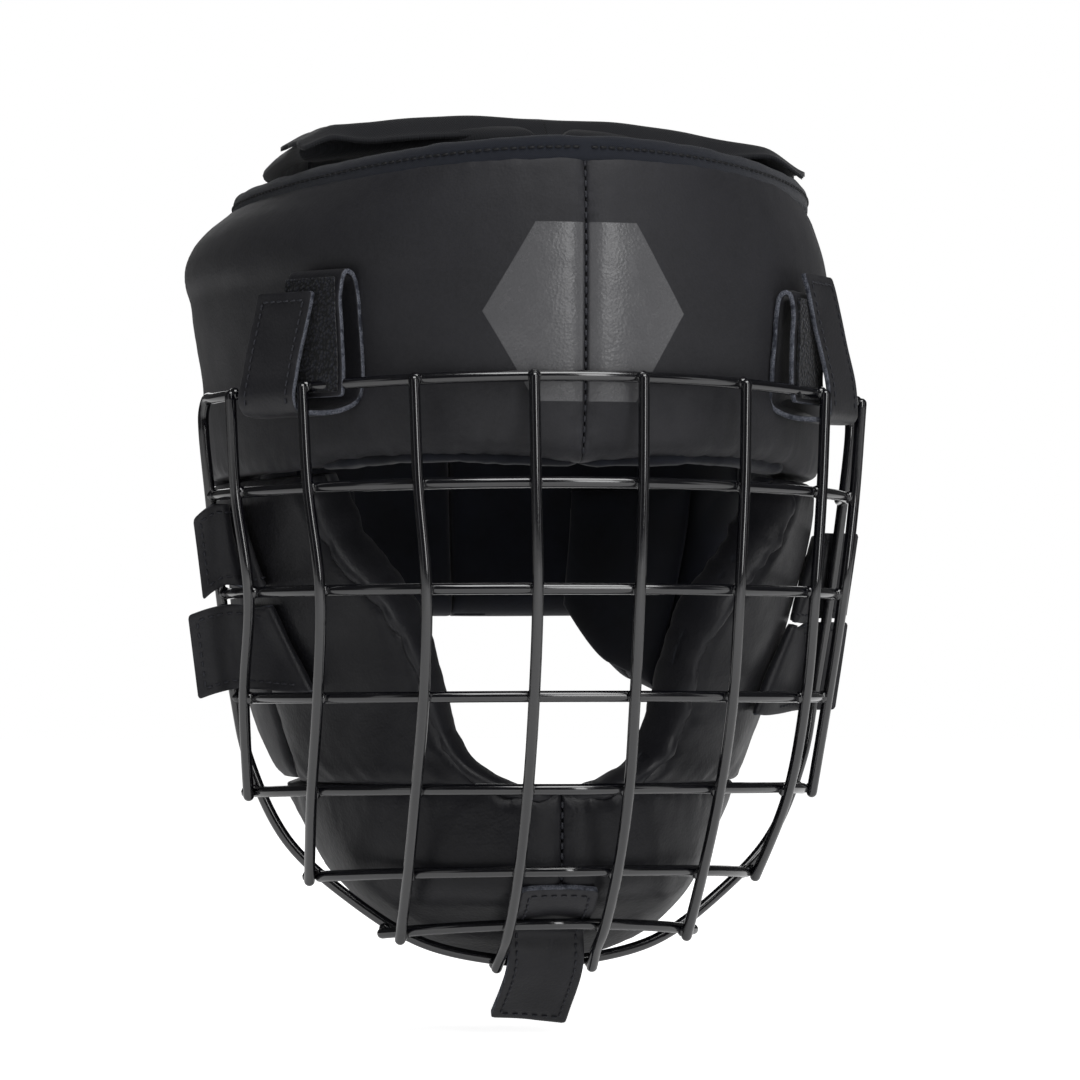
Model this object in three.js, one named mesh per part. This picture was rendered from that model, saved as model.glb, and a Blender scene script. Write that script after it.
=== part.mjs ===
// Full-face boxing headgear with a wire cage.
// Millimetres, +Z up, the wearer looks along -Y and +X is on the wearer's left.
// The origin is the middle of the wearer's head at eye height.
import * as THREE from 'three';

const V = (x, y, z) => new THREE.Vector3(x, y, z);
const { lerp, clamp, degToRad, smoothstep } = THREE.MathUtils;

// ---------- driving dimensions ----------
const GAP = 0.3;              // air left between pieces that touch
const SEAM = 0.8;             // air left between pads sewn edge to edge
const PAD_THICKNESS = 20;
const LINING_THICKNESS = 4;
const WIRE_RADIUS = 2;
const WIRE_SIDES = 6;
const WIRE_STEP = WIRE_RADIUS + 0.55;   // uprights this far outside the cage surface, cross wires inside
const LEATHER = 2.4;          // strap thickness
const STRAP_HALF = 12.8;      // half width of the temple straps
const CHIN_HALF = 13.8;        // half width of the chin strap
const CHIN_X = -1;            // it is sewn on a little to the wearer's right

// Outline of the guard at a height: half width, reach to the front and to the back,
// and how far forward its widest place lies.
const GUARD_SECTIONS = [
  { z: 136, half: 99, front: 134, back: 114, shift: 0 },
  { z: 129, half: 106, front: 136, back: 118, shift: 0 },
  { z: 118, half: 112.5, front: 137.5, back: 122.5, shift: 0 },
  { z: 95, half: 118, front: 138, back: 126, shift: 0 },
  { z: 55, half: 113.5, front: 137, back: 127, shift: 0 },
  { z: 20, half: 110, front: 131, back: 124, shift: 0 },
  { z: -20, half: 105.5, front: 113, back: 118, shift: 0 },
  { z: -60, half: 95, front: 101, back: 106, shift: 6 },
  { z: -90, half: 86, front: 100, back: 70, shift: 14 },
  { z: -120, half: 71, front: 98.5, back: 40, shift: 20 },
  { z: -138, half: 56.5, front: 74, back: 20, shift: 25 },
  { z: -150, half: 38, front: 56, back: 0, shift: 30 },
  { z: -154, half: 31, front: 52, back: 0, shift: 30 },
];
// The two sides are not quite alike: height and share of the outline's half width.
const RIGHT_WIDTH = [
  [136, 0.98], [128, 0.98], [121, 0.91], [116, 0.96], [110, 1.005], [104, 1.02], [99, 1.02], [90, 0.995],
  [60, 0.985], [40, 1], [-154, 1],
];
const LEFT_WIDTH = [
  [136, 1.03], [129, 1.03], [122, 1], [60, 1], [41, 1.04], [13, 1.04], [-20, 1.015], [-60, 0.99],
  [-75, 0.965], [-90, 0.945], [-105, 0.92], [-154, 0.91],
];

// Cross wires from the top bar down: height, drop towards the sides, reach to the front,
// where the rear upright stands, half width, the two powers of the curve, and how much
// closer together the uprights stand than at the top bar.
const CAGE_ROWS = [
  { z: 55.6, drop: 4.9, front: 142, rear: 47.5, half: 121.7, across: 1.75, along: 2, taper: 1 },
  { z: 18.8, drop: 2.3, front: 142.3, rear: 46.5, half: 118.1, across: 1.95, along: 2, taper: 0.98 },
  { z: -17.9, drop: 0.8, front: 140, rear: 44, half: 113, across: 2.6, along: 2, taper: 0.94 },
  { z: -55.1, drop: 1, front: 133.3, rear: 41.6, half: 108.1, across: 2.5, along: 2, taper: 0.93 },
  { z: -88.2, drop: 1.8, front: 125.5, rear: 45, half: 103.8, across: 1.6, along: 1.7, taper: 0.92 },
  { z: -117.7, drop: 3, front: 109.5, rear: 49, half: 82, across: 1.5, along: 1.5, taper: 0.9 },
  { z: -137.5, drop: 4, front: 90.5, rear: 57, half: 60, across: 1.5, along: 1.5, taper: 0.885 },
];
const UPRIGHT_X = [19.1, 58.5, 93.3, 114.1];    // at the top bar, from the middle outwards
const UPRIGHT_LAST_ROW = [6, 6, 5, 4];
const HOOP = [                                   // right half of the hoop, down from the upright
  V(108.1, -41.6, -56), V(103.2, -43, -79), V(90, -47, -107.3),
  V(67.3, -54, -128.7), V(43.5, -60.5, -143.7), V(20, -64.7, -149.6), V(0, -66, -151),
];

// Sewn pads, as angles round the head from the front and heights.
const BROW_Z = 24;
const BAND_BOTTOM_Z = 22;
const FOREHEAD_END = 100;
const FOREHEAD_LINING_END = 66;
const EAR_START = 76;
const EAR_END = 132;
const CHIN_END = 88;
const EAR_HOLE = { theta: 100, z: -10, halfTheta: 12, halfZ: 24 };
const NAPE_LINING_END = 150;
const CHIN_TOP_Z = -87;
const CROWN = { half: 86, front: -78, back: 66, inner: 5, top: -10, height: 153.2, fall: 11.5, thickness: 9 };

const root = new THREE.Group();
const leather = () => new THREE.MeshStandardMaterial({ color: 0x2b2c30, roughness: 0.62, metalness: 0 });
const lining = () => new THREE.MeshStandardMaterial({ color: 0x141519, roughness: 0.8, metalness: 0 });
const textile = () => new THREE.MeshStandardMaterial({ color: 0x181c28, roughness: 0.9, metalness: 0 });
const coatedWire = () => new THREE.MeshStandardMaterial({ color: 0x0b0b0d, roughness: 0.18, metalness: 0.2 });

function addPiece(name, geometry, material) {
  const mesh = new THREE.Mesh(geometry, material);
  mesh.name = name;
  root.add(mesh);
}

// ---------- general builders ----------
// A body through rings of points that all have the same count, with flat ends.
function loft(rings, joinEnds = false) {
  const count = rings[0].length;
  const positions = rings.flat().flatMap((p) => [p.x, p.y, p.z]);
  const index = [];
  const spans = joinEnds ? rings.length : rings.length - 1;
  for (let i = 0; i < spans; i += 1) {
    for (let k = 0; k < count; k += 1) {
      const a = i * count + k;
      const b = i * count + ((k + 1) % count);
      const c = ((i + 1) % rings.length) * count + k;
      const d = ((i + 1) % rings.length) * count + ((k + 1) % count);
      index.push(a, b, d, a, d, c);
    }
  }
  if (!joinEnds) {
    const last = (rings.length - 1) * count;
    for (let k = 1; k < count - 1; k += 1) {
      index.push(0, k + 1, k, last, last + k, last + k + 1);
    }
  }
  return outward(positions, index);
}

// Turns a closed mesh right side out.
function outward(positions, index) {
  let volume = 0;
  const at = (i) => V(positions[3 * i], positions[3 * i + 1], positions[3 * i + 2]);
  for (let i = 0; i < index.length; i += 3) {
    volume += at(index[i]).dot(at(index[i + 1]).cross(at(index[i + 2])));
  }
  const ordered = volume > 0 ? index : index.slice().reverse();
  const geometry = new THREE.BufferGeometry();
  geometry.setAttribute('position', new THREE.Float32BufferAttribute(positions, 3));
  geometry.setIndex(ordered);
  geometry.computeVertexNormals();
  return geometry;
}

// A strap: stations hold its middle line, its outward side and its width direction.
function strap(stations, halfWidth, thickness) {
  return loft(stations.map(({ at, out, wide }) => {
    const side = wide.clone().multiplyScalar(halfWidth);
    const lift = out.clone().multiplyScalar(thickness);
    const low = at.clone().sub(side);
    const high = at.clone().add(side);
    return [low, high, high.clone().add(lift), low.clone().add(lift)];
  }));
}

// Stations of a strap that keeps one width direction along a bent path.
function stationsAlong(path, wide, outHint) {
  return path.map((at, i) => {
    const before = path[Math.max(i - 1, 0)];
    const after = path[Math.min(i + 1, path.length - 1)];
    const out = after.clone().sub(before).cross(wide).normalize();
    if (out.dot(outHint) < 0) out.negate();
    return { at, out, wide };
  });
}

function wire(points, steps) {
  const section = new THREE.Shape();
  for (let k = 0; k < WIRE_SIDES; k += 1) {
    const turn = (2 * Math.PI * k) / WIRE_SIDES;
    const [x, y] = [WIRE_RADIUS * Math.cos(turn), WIRE_RADIUS * Math.sin(turn)];
    if (k === 0) section.moveTo(x, y);
    else section.lineTo(x, y);
  }
  const extrudePath = new THREE.CatmullRomCurve3(points, false, 'centripetal');
  return new THREE.ExtrudeGeometry(section, { steps, bevelEnabled: false, extrudePath });
}

const mirrored = (p) => V(-p.x, p.y, p.z);

// The value at a height in a table of falling heights.
function fromTable(table, z) {
  let i = 0;
  while (i < table.length - 2 && z < table[i + 1][0]) i += 1;
  const [above, below] = [table[i], table[i + 1]];
  return lerp(above[1], below[1], clamp((above[0] - z) / (above[0] - below[0]), 0, 1));
}

// ---------- the guard's surface ----------
function guardSection(z, side) {
  const last = GUARD_SECTIONS.length - 1;
  let i = 0;
  while (i < last - 1 && z < GUARD_SECTIONS[i + 1].z) i += 1;
  const [above, below] = [GUARD_SECTIONS[i], GUARD_SECTIONS[i + 1]];
  const share = clamp((above.z - z) / (above.z - below.z), 0, 1);
  const mix = (key) => lerp(above[key], below[key], share);
  const half = mix('half') * fromTable(side > 0 ? LEFT_WIDTH : RIGHT_WIDTH, z);
  return { half, front: mix('front'), back: mix('back'), shift: mix('shift') };
}

// A point of the outer surface, for either side on the +X side.
function guardPoint(theta, z, side) {
  const { half, front, back, shift } = guardSection(z, side);
  const turn = degToRad(theta);
  const reach = Math.cos(turn) > 0 ? front - shift : back + shift;
  return V(half * Math.sin(turn), -shift - reach * Math.cos(turn), z);
}

// A point that lies depth inside the guard's outer surface.
function guardInside(theta, z, depth, side) {
  const turn = guardPoint(theta + 1, z, side).sub(guardPoint(theta - 1, z, side));
  const rise = guardPoint(theta, z + 6, side).sub(guardPoint(theta, z - 6, side));
  const normal = turn.cross(rise).normalize();
  return guardPoint(theta, z, side).sub(normal.multiplyScalar(depth));
}

// How far a point must move along the direction to lie on the guard's surface.
function distanceToGuard(from, direction, side) {
  let [near, far] = [0, 60];
  for (let i = 0; i < 30; i += 1) {
    const middle = (near + far) / 2;
    const p = from.clone().addScaledVector(direction, middle);
    const { half, front, back, shift } = guardSection(p.z, side);
    const reach = p.y < -shift ? front - shift : back + shift;
    const inside = (p.x / half) ** 2 + ((p.y + shift) / reach) ** 2 < 1;
    if (inside) far = middle;
    else near = middle;
  }
  return near;
}

// ---------- sewn pads ----------
// A pad over part of the guard: place(u, v) gives its angle and height for u and v from 0 to 1.
function pad(place, acrossCount, upCount, outerDepth, thickness, side) {
  const layer = (depth) => {
    const rows = [];
    for (let j = 0; j <= upCount; j += 1) {
      for (let i = 0; i <= acrossCount; i += 1) {
        const [theta, z] = place(i / acrossCount, j / upCount);
        const p = guardInside(theta, z, depth, side);
        rows.push(side > 0 ? p : mirrored(p));
      }
    }
    return rows;
  };
  const outer = layer(outerDepth);
  const inner = layer(outerDepth + thickness);
  const offset = outer.length;
  const positions = [...outer, ...inner].flatMap((p) => [p.x, p.y, p.z]);
  const id = (i, j) => j * (acrossCount + 1) + i;
  const index = [];
  for (let j = 0; j < upCount; j += 1) {
    for (let i = 0; i < acrossCount; i += 1) {
      const [a, b, c, d] = [id(i, j), id(i + 1, j), id(i + 1, j + 1), id(i, j + 1)];
      index.push(a, b, c, a, c, d);
      index.push(a + offset, c + offset, b + offset, a + offset, d + offset, c + offset);
    }
  }
  const rim = [];
  for (let i = 0; i < acrossCount; i += 1) rim.push(id(i, 0));
  for (let j = 0; j < upCount; j += 1) rim.push(id(acrossCount, j));
  for (let i = acrossCount; i > 0; i -= 1) rim.push(id(i, upCount));
  for (let j = upCount; j > 0; j -= 1) rim.push(id(0, j));
  rim.forEach((a, k) => {
    const b = rim[(k + 1) % rim.length];
    index.push(a, a + offset, b + offset, a, b + offset, b);
  });
  return outward(positions, index);
}

// Angle of the face opening's edge at a height. It is wider open low down on the left.
function openingEdge(z, side) {
  const edge = [[22, 54], [0, 48], [-18, 38], [-28, 33.5], [-43, 29.5], [-71, 25], [-87, 16.5]];
  return fromTable(edge, z) + (side > 0 ? 2.5 * smoothstep(-z, 35, 60) : 0);
}

const seamAngle = (millimetres) => (millimetres / 110) * (180 / Math.PI);
const HALF_SEAM = seamAngle(SEAM / 2);
const topEdge = (theta) => 135 - 9 * Math.sin(degToRad(Math.min(theta, 90))) ** 2;
const browEdge = (theta) => BROW_Z + 3 * Math.sin(degToRad(clamp(theta * 3, 0, 180)));
const earBottom = (theta) => lerp(-86, -54, clamp((theta - CHIN_END) / (EAR_END - CHIN_END), 0, 1) ** 0.8);
const napeBottom = (theta) => lerp(-54, -27, clamp((theta - EAR_END) / 18, 0, 1) ** 1.5);
const chinBottom = (theta) => lerp(-154, -118, clamp(theta / CHIN_END, 0, 1) ** 4);

// Fills the space between two angles and two height curves.
const between = (thetaLow, thetaHigh, low, high) => (u, v) => {
  const theta = lerp(thetaLow, thetaHigh, u);
  return [theta, lerp(low(theta), high(theta), v)];
};

const foreheadPlace = between(HALF_SEAM, FOREHEAD_END, browEdge, topEdge);
const bandPlace = between(FOREHEAD_END + 2 * HALF_SEAM, EAR_END, () => BAND_BOTTOM_Z + SEAM, topEdge);
const rearPlace = between(EAR_END + 2 * HALF_SEAM, 180 - HALF_SEAM, (theta) => napeBottom(theta), topEdge);
const chinPlace = between(HALF_SEAM, CHIN_END, chinBottom, () => CHIN_TOP_Z - SEAM);
const cheekPlace = (side) => (u, v) => {
  const z = lerp(CHIN_TOP_Z, BAND_BOTTOM_Z, v);
  return [lerp(openingEdge(z, side), EAR_START - HALF_SEAM, u), z];
};

// The ear pad is a ring round the ear hole.
function earPad(side) {
  const perSide = 6;
  const outline = [];
  for (let k = 0; k < 4 * perSide; k += 1) {
    const t = (k % perSide) / perSide;
    const corner = [[t, 0], [1, t], [1 - t, 1], [0, 1 - t]][Math.floor(k / perSide)];
    const theta = lerp(EAR_START + HALF_SEAM, EAR_END, corner[0]);
    outline.push([theta, lerp(earBottom(theta), BAND_BOTTOM_Z, corner[1])]);
  }
  const ringCount = 3;
  const sections = outline.map(([theta, z]) => {
    const turn = Math.atan2((z - EAR_HOLE.z) / EAR_HOLE.halfZ, (theta - EAR_HOLE.theta) / EAR_HOLE.halfTheta);
    const holeTheta = EAR_HOLE.theta + EAR_HOLE.halfTheta * Math.cos(turn);
    const holeZ = EAR_HOLE.z + EAR_HOLE.halfZ * Math.sin(turn);
    const line = (depth, from, to) => Array.from({ length: ringCount + 1 }, (_, i) => {
      const share = lerp(from, to, i / ringCount);
      const p = guardInside(lerp(holeTheta, theta, share), lerp(holeZ, z, share), depth, side);
      return side > 0 ? p : mirrored(p);
    });
    return [...line(0, 0, 1), ...line(PAD_THICKNESS, 1, 0)];
  });
  return loft(sections, true);
}

function buildPads() {
  const liningDepth = PAD_THICKNESS + 5 * GAP;
  for (const [side, word] of [[-1, 'right'], [1, 'left']]) {
    addPiece(`forehead_pad_${word}`, pad(foreheadPlace, 12, 5, 0, PAD_THICKNESS, side), leather());
    addPiece(`side_band_${word}`, pad(bandPlace, 4, 4, 0, PAD_THICKNESS, side), leather());
    addPiece(`cheek_pad_${word}`, pad(cheekPlace(side), 6, 7, 0, PAD_THICKNESS, side), leather());
    addPiece(`ear_pad_${word}`, earPad(side), leather());
    addPiece(`chin_pad_${word}`, pad(chinPlace, 8, 5, 0, PAD_THICKNESS, side), leather());
    addPiece(`rear_panel_${word}`, pad(rearPlace, 6, 6, 0, PAD_THICKNESS, side), leather());
    addPiece(`forehead_lining_${word}`, pad(
      between(2 * HALF_SEAM, FOREHEAD_LINING_END, (t) => browEdge(t) + 2, (t) => topEdge(t) - 6),
      7, 2, liningDepth, LINING_THICKNESS, side), lining());
    addPiece(`nape_lining_${word}`, pad(
      between(EAR_HOLE.theta + EAR_HOLE.halfTheta + 3, NAPE_LINING_END,
        (t) => (t < EAR_END ? earBottom(t) : napeBottom(t)) + 1, () => BAND_BOTTOM_Z),
      7, 3, liningDepth, LINING_THICKNESS, side), lining());
    addPiece(`top_binding_${word}`, binding(side, HALF_SEAM, EAR_END - 1), textile());
    addPiece(`rear_binding_${word}`, binding(side, EAR_END + 2, 180 - 2 * HALF_SEAM), textile());
    addPiece(`crown_pad_${word}`, crownPad(side), lining());
  }
}

// Textile binding folded over a stretch of the top edge.
function binding(side, from, to) {
  const height = 3.4;
  const width = 10;
  const stations = Math.ceil((to - from) / 11);
  const rings = [];
  for (let k = 0; k <= stations; k += 1) {
    const theta = lerp(from, to, k / stations);
    const z = topEdge(theta);
    const base = [guardInside(theta, z, width, side), guardInside(theta, z, 0, side)]
      .map((p) => p.setZ(z + SEAM + Math.max(0, p.z - z)));
    const top = base.map((p) => p.clone().setZ(p.z + height));
    const ring = [base[0], base[1], top[1], top[0]];
    rings.push(side > 0 ? ring : ring.map(mirrored));
  }
  return loft(rings);
}

// Half of the padded crown, a shallow dome whose top lies a little to the wearer's right.
function crownHeight(x, y) {
  return CROWN.height - CROWN.fall * (((x - CROWN.top) / 105) ** 2 + (y / 125) ** 2);
}

function crownPad(side) {
  const across = 6;
  const along = 6;
  const rings = [];
  for (let i = 0; i <= across; i += 1) {
    const x = lerp(CROWN.inner, CROWN.half, i / across);
    const pull = Math.sqrt(1 - (x / (CROWN.half + 22)) ** 2);
    const ring = [];
    for (let j = 0; j <= along; j += 1) {
      const y = lerp(CROWN.front, CROWN.back, j / along) * pull;
      ring.push(V(side * x, y, crownHeight(side * x, y)));
    }
    for (let j = along; j >= 0; j -= 1) {
      const y = lerp(CROWN.front, CROWN.back, j / along) * pull;
      ring.push(V(side * x, y, crownHeight(side * x, y) - CROWN.thickness));
    }
    rings.push(ring);
  }
  return loft(rings);
}

// ---------- the cage ----------
function cageSurface(row, x) {
  const r = CAGE_ROWS[row];
  const share = Math.min(Math.abs(x) / r.half, 0.9999);
  const reach = (1 - share ** r.across) ** (1 / r.along);
  return V(x, -r.rear - (r.front - r.rear) * reach, r.z - r.drop * share ** 2);
}

// Outward direction of the cage's surface. The rows above and below give its slope.
function cageNormal(row, x) {
  const step = 0.5;
  const tangent = cageSurface(row, x + step).sub(cageSurface(row, x - step));
  if (row < 4) return V(tangent.y, -tangent.x, 0).normalize();
  const share = (other) => cageSurface(other, (x * CAGE_ROWS[other].taper) / CAGE_ROWS[row].taper);
  const rise = share(row - 1).sub(share(Math.min(row + 1, CAGE_ROWS.length - 1)));
  return tangent.cross(rise).normalize();
}

// One side of a cross wire, from the middle to the rear upright, evenly spaced by angle.
function halfRow(row, count) {
  const points = [];
  for (let k = 0; k <= count; k += 1) {
    const x = CAGE_ROWS[row].half * Math.sin((Math.PI / 2) * (k / count) * 0.985);
    points.push(cageSurface(row, x).addScaledVector(cageNormal(row, x), -WIRE_STEP));
  }
  return points;
}

function perimeterPoints() {
  const bar = halfRow(0, 12);
  bar[0].x = 0.4;
  const top = CAGE_ROWS[0];
  const corner = V(top.half - 1, -top.rear, top.z - top.drop - 4.5);
  const upright = V(118.1, -46.5, 16.5);
  const right = [...bar, corner, V(120.6, -47.3, 40), upright, V(113.6, -44, -20), ...HOOP];
  const left = right.slice(0, -1).reverse().map(mirrored);
  return [...right, ...left];
}

function nearest(points, p) {
  return Math.min(...points.map((q) => q.distanceTo(p)));
}

function buildCage() {
  const perimeter = perimeterPoints();
  addPiece('perimeter_wire', wire(perimeter, 120), coatedWire());
  const loop = new THREE.CatmullRomCurve3(perimeter, false, 'centripetal').getSpacedPoints(600);
  const clear = 2 * WIRE_RADIUS + 0.6;
  for (let row = 1; row < CAGE_ROWS.length; row += 1) {
    const half = halfRow(row, 40);
    const distances = half.map((p) => nearest(loop, p));
    const closest = distances.indexOf(Math.min(...distances));
    const touching = distances.findIndex((d, k) => k > 4 && d < clear);
    const kept = half.slice(0, touching > 0 ? touching : closest + 1);
    const thinned = kept.filter((p, k) => k % 4 === 0 || k === kept.length - 1);
    const points = [...thinned.slice(1).reverse().map(mirrored), ...thinned];
    addPiece(`cross_wire_${row}`, wire(points, row < 4 ? 22 : 16), coatedWire());
  }
  for (const [side, word] of [[-1, 'right'], [1, 'left']]) {
    UPRIGHT_X.forEach((x, k) => {
      addPiece(`upright_wire_${word}_${k + 1}`, upright(k, side, loop, clear), coatedWire());
    });
  }
}

// The place of an upright where it crosses a row.
function crossing(k, row) {
  const x = Math.min(UPRIGHT_X[k] * CAGE_ROWS[row].taper, CAGE_ROWS[row].half - 0.8);
  return cageSurface(row, x).addScaledVector(cageNormal(row, x), WIRE_STEP);
}

function upright(k, side, loop, clear) {
  const points = [];
  for (let row = 0; row <= UPRIGHT_LAST_ROW[k]; row += 1) points.push(crossing(k, row));
  points[0].z += WIRE_RADIUS;
  const innermost = k === 0;
  if (innermost) points.push(V(17, -78, -146), V(17.5, -68.9, -153));
  else {
    const [a, b] = points.slice(-2);
    points.push(b.clone().addScaledVector(b.clone().sub(a).normalize(), 1));
  }
  const fine = new THREE.CatmullRomCurve3(points, false, 'centripetal').getSpacedPoints(60);
  const cut = innermost ? -1 : fine.findIndex((p, i) => i > 30 && nearest(loop, p) < clear);
  const kept = cut > 0 ? fine.slice(0, cut) : fine;
  const thinned = kept.filter((p, i) => i % 5 === 0 || i === kept.length - 1);
  return wire(side > 0 ? thinned : thinned.map(mirrored), 13);
}

// ---------- straps ----------
// The temple straps: where the sewn part folds back, and how far out and how far towards the
// middle the free tab stands at its foot, at its knee over the bar and at its tip.
const TEMPLES = [
  {
    side: -1, word: 'right', fold: 96,
    foot: { out: 5.2, shift: -3 }, knee: { out: 4.6, shift: -4 }, tip: { z: 85.5, out: 3.4, shift: -11.6 },
  },
  {
    side: 1, word: 'left', fold: 90,
    foot: { out: 4.2, shift: -2.4 }, knee: { out: 3.6, shift: -3 }, tip: { z: 92, out: -3.2, shift: -15.5 },
  },
];
const TEMPLE_BASE_SHIFT = -19;    // the sewn part lies this far nearer the middle than the bar's place

// The place on the top bar between the two outer uprights, and its two directions.
function templeFrame() {
  const x = (crossing(3, 0).x + crossing(2, 0).x) / 2;
  const out = cageNormal(0, x);
  return { at: cageSurface(0, x).addScaledVector(out, -WIRE_STEP), out, wide: V(-out.y, out.x, 0) };
}

function buildTempleStraps() {
  const { at: bar, out, wide } = templeFrame();
  const under = bar.z - WIRE_RADIUS - 1;
  const front = (z, n, shift) => bar.clone().setZ(z).addScaledVector(out, n).addScaledVector(wide, shift);
  const bottom = under - LEATHER;
  for (const { side, word, fold, foot, knee, tip } of TEMPLES) {
    const leatherFace = (z, lift) => {
      const from = front(z, 20, TEMPLE_BASE_SHIFT);
      return from.addScaledVector(out, lift - distanceToGuard(from, out.clone().negate(), side));
    };
    const basePath = [
      leatherFace(fold, 0.9), leatherFace(80, 0.9), leatherFace(62, 0.9), leatherFace(bottom + 3, 1.1),
      front(bottom, -9, TEMPLE_BASE_SHIFT + 4), front(bottom, 1.5, foot.shift),
    ];
    const loopPath = [leatherFace(fold - 3, 3.8), leatherFace(75, 3.8), leatherFace(56, 3.8)];
    const tabPath = [
      front(bottom + 0.4, 2, foot.shift), front(bottom + 3, foot.out, foot.shift),
      front(bottom + 13, knee.out, knee.shift), front(tip.z, tip.out, tip.shift),
    ];
    const place = (stations) => stations.map((s) => (side > 0 ? s : {
      at: mirrored(s.at), out: mirrored(s.out), wide: mirrored(s.wide),
    }));
    const base = place(baseStations(basePath, wide, out));
    const tape = place(stationsAlong(loopPath, wide, out));
    const tab = place(stationsAlong(tabPath, wide, out));
    addPiece(`temple_strap_base_${word}`, strap(base, STRAP_HALF, LEATHER), leather());
    addPiece(`temple_loop_tape_${word}`, strap(tape, STRAP_HALF - 1.5, 1.6), textile());
    addPiece(`temple_tab_${word}`, strap(tab, STRAP_HALF, LEATHER), leather());
  }
}

// The temple base turns from lying on the pad to running out under the top bar.
function baseStations(path, wide, out) {
  const stations = stationsAlong(path, wide, out);
  const up = V(0, 0, 1);
  stations[3].out = out.clone().add(up).normalize();
  stations[4].out = up.clone();
  stations[5].out = up.clone();
  return stations;
}

// The side straps: heights, how they pass the rear upright, and how far their ends stand out and sink.
const SIDE_STRAPS = [
  { name: 'upper_right', side: -1, low: -15.6, high: 13.4, pass: -1, reach: 7, ahead: 0, droop: 5.5 },
  { name: 'lower_right', side: -1, low: -52.6, high: -22.6, pass: -1, reach: 13.5, ahead: 3, droop: 4 },
  { name: 'upper_left', side: 1, low: -27, high: 4.5, pass: 1, reach: 9, ahead: 0, droop: 0 },
  { name: 'lower_left', side: 1, low: -61, high: -28.5, pass: 1, reach: 10, ahead: 2, droop: 0 },
];
const UPRIGHT_TOP = V(118.1, -46.5, 16.5);
const UPRIGHT_BOTTOM = V(108.1, -41.6, -56);

function uprightPlace(z) {
  return UPRIGHT_TOP.clone().lerp(UPRIGHT_BOTTOM, (UPRIGHT_TOP.z - z) / (UPRIGHT_TOP.z - UPRIGHT_BOTTOM.z));
}

// The fold of a side strap lies on the cheek along a line that slants forward as it falls.
const foldAngle = (z) => 73 - 0.238 * (14 - z);

// A side strap's middle line at one height: along the pad, round the fold and past the upright.
function sideStrapLine({ side, pass, reach, ahead, droop }, z) {
  const post = uprightPlace(z);
  const fold = foldAngle(z);
  const miss = WIRE_RADIUS + LEATHER / 2 + 0.9;
  const past = (x, y, sink = 0) => post.clone().add(V(x, y, -sink));
  const onPad = (theta, lift) => guardInside(theta, z, -lift, side);
  const doubledBack = pass > 0 ? [onPad(fold + 1, 7.2)] : [];
  return {
    base: [
      onPad(fold + 11, 3.4), onPad(fold + 6, 3.5), onPad(fold + 1, 3.2), onPad(fold - 2, 5.2), ...doubledBack,
      past(-4, pass * miss - ahead * 0.5), past(-0.8, pass * miss),
    ],
    tab: [
      past(-0.2, pass * miss), past(reach * 0.5, pass * (miss + 0.4), droop * 0.4),
      past(reach, pass * (miss - 0.6), droop),
    ],
  };
}

// A strap whose lower and upper edges follow different lines.
function ruledStrap(lowLine, highLine, thickness, side) {
  return loft(lowLine.map((low, i) => {
    const high = highLine[i];
    const before = lowLine[Math.max(i - 1, 0)];
    const after = lowLine[Math.min(i + 1, lowLine.length - 1)];
    const lift = after.clone().sub(before).cross(high.clone().sub(low)).normalize()
      .multiplyScalar(thickness / 2);
    const inner = [low, high].map((p) => p.clone().sub(lift));
    const outer = [high, low].map((p) => p.clone().add(lift));
    const ring = [...inner, ...outer];
    return side > 0 ? ring : ring.map(mirrored);
  }));
}

function buildSideStraps() {
  for (const shape of SIDE_STRAPS) {
    const [low, high] = [sideStrapLine(shape, shape.low), sideStrapLine(shape, shape.high)];
    const make = (key) => ruledStrap(low[key], high[key], LEATHER, shape.side);
    addPiece(`side_strap_base_${shape.name}`, make('base'), leather());
    addPiece(`side_tab_${shape.name}`, make('tab'), leather());
  }
}

function buildChinStrap() {
  const wide = V(1, 0, 0);
  const hint = V(0, -1, -0.6);
  const skin = (z, lift) => guardInside(0, z, -lift, 1).setX(CHIN_X);
  const basePath = [
    skin(-116, 0.8), skin(-124, 0.8), skin(-131, 0.8), skin(-138, 0.7), V(CHIN_X, -73.5, -150.2),
  ];
  const tabPath = [
    V(CHIN_X, -72.9, -150.9), V(CHIN_X - 0.4, -69.6, -155.4), V(CHIN_X - 1.2, -63.2, -162.6),
    V(CHIN_X - 2.2, -54, -171),
  ];
  addPiece('chin_strap_base', strap(stationsAlong(basePath, wide, hint), CHIN_HALF, 1.8), leather());
  addPiece('chin_tab', strap(stationsAlong(tabPath, wide, hint), CHIN_HALF, LEATHER + 1.2), leather());
}

function buildCrownStrap() {
  const middleY = -45;
  const half = 30;
  const wide = V(0, half, crownHeight(0, middleY + half) - crownHeight(0, middleY)).normalize();
  const place = (x) => V(x, middleY, crownHeight(x, middleY) + 1.6);
  const up = V(0, 0, 1);
  const joint = 52;
  const middle = [-1, -0.66, -0.33, 0, 0.33, 0.66, 1].map((share) => place(share * (joint - GAP)));
  addPiece('crown_strap', strap(stationsAlong(middle, wide, up), half, 2), textile());
  const ends = [
    { side: -1, word: 'right', hang: [[88, 146.8], [93, 142]] },
    { side: 1, word: 'left', hang: [[90, 141.7], [97.5, 134.8]] },
  ];
  for (const { side, word, hang } of ends) {
    const onPad = [joint + GAP, 66, 80].map((x) => place(side * x));
    const path = [...onPad, ...hang.map(([x, z]) => V(side * x, middleY, z))];
    addPiece(`crown_tab_${word}`, strap(stationsAlong(path, wide, up), half - 2, 2), textile());
  }
}

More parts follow.
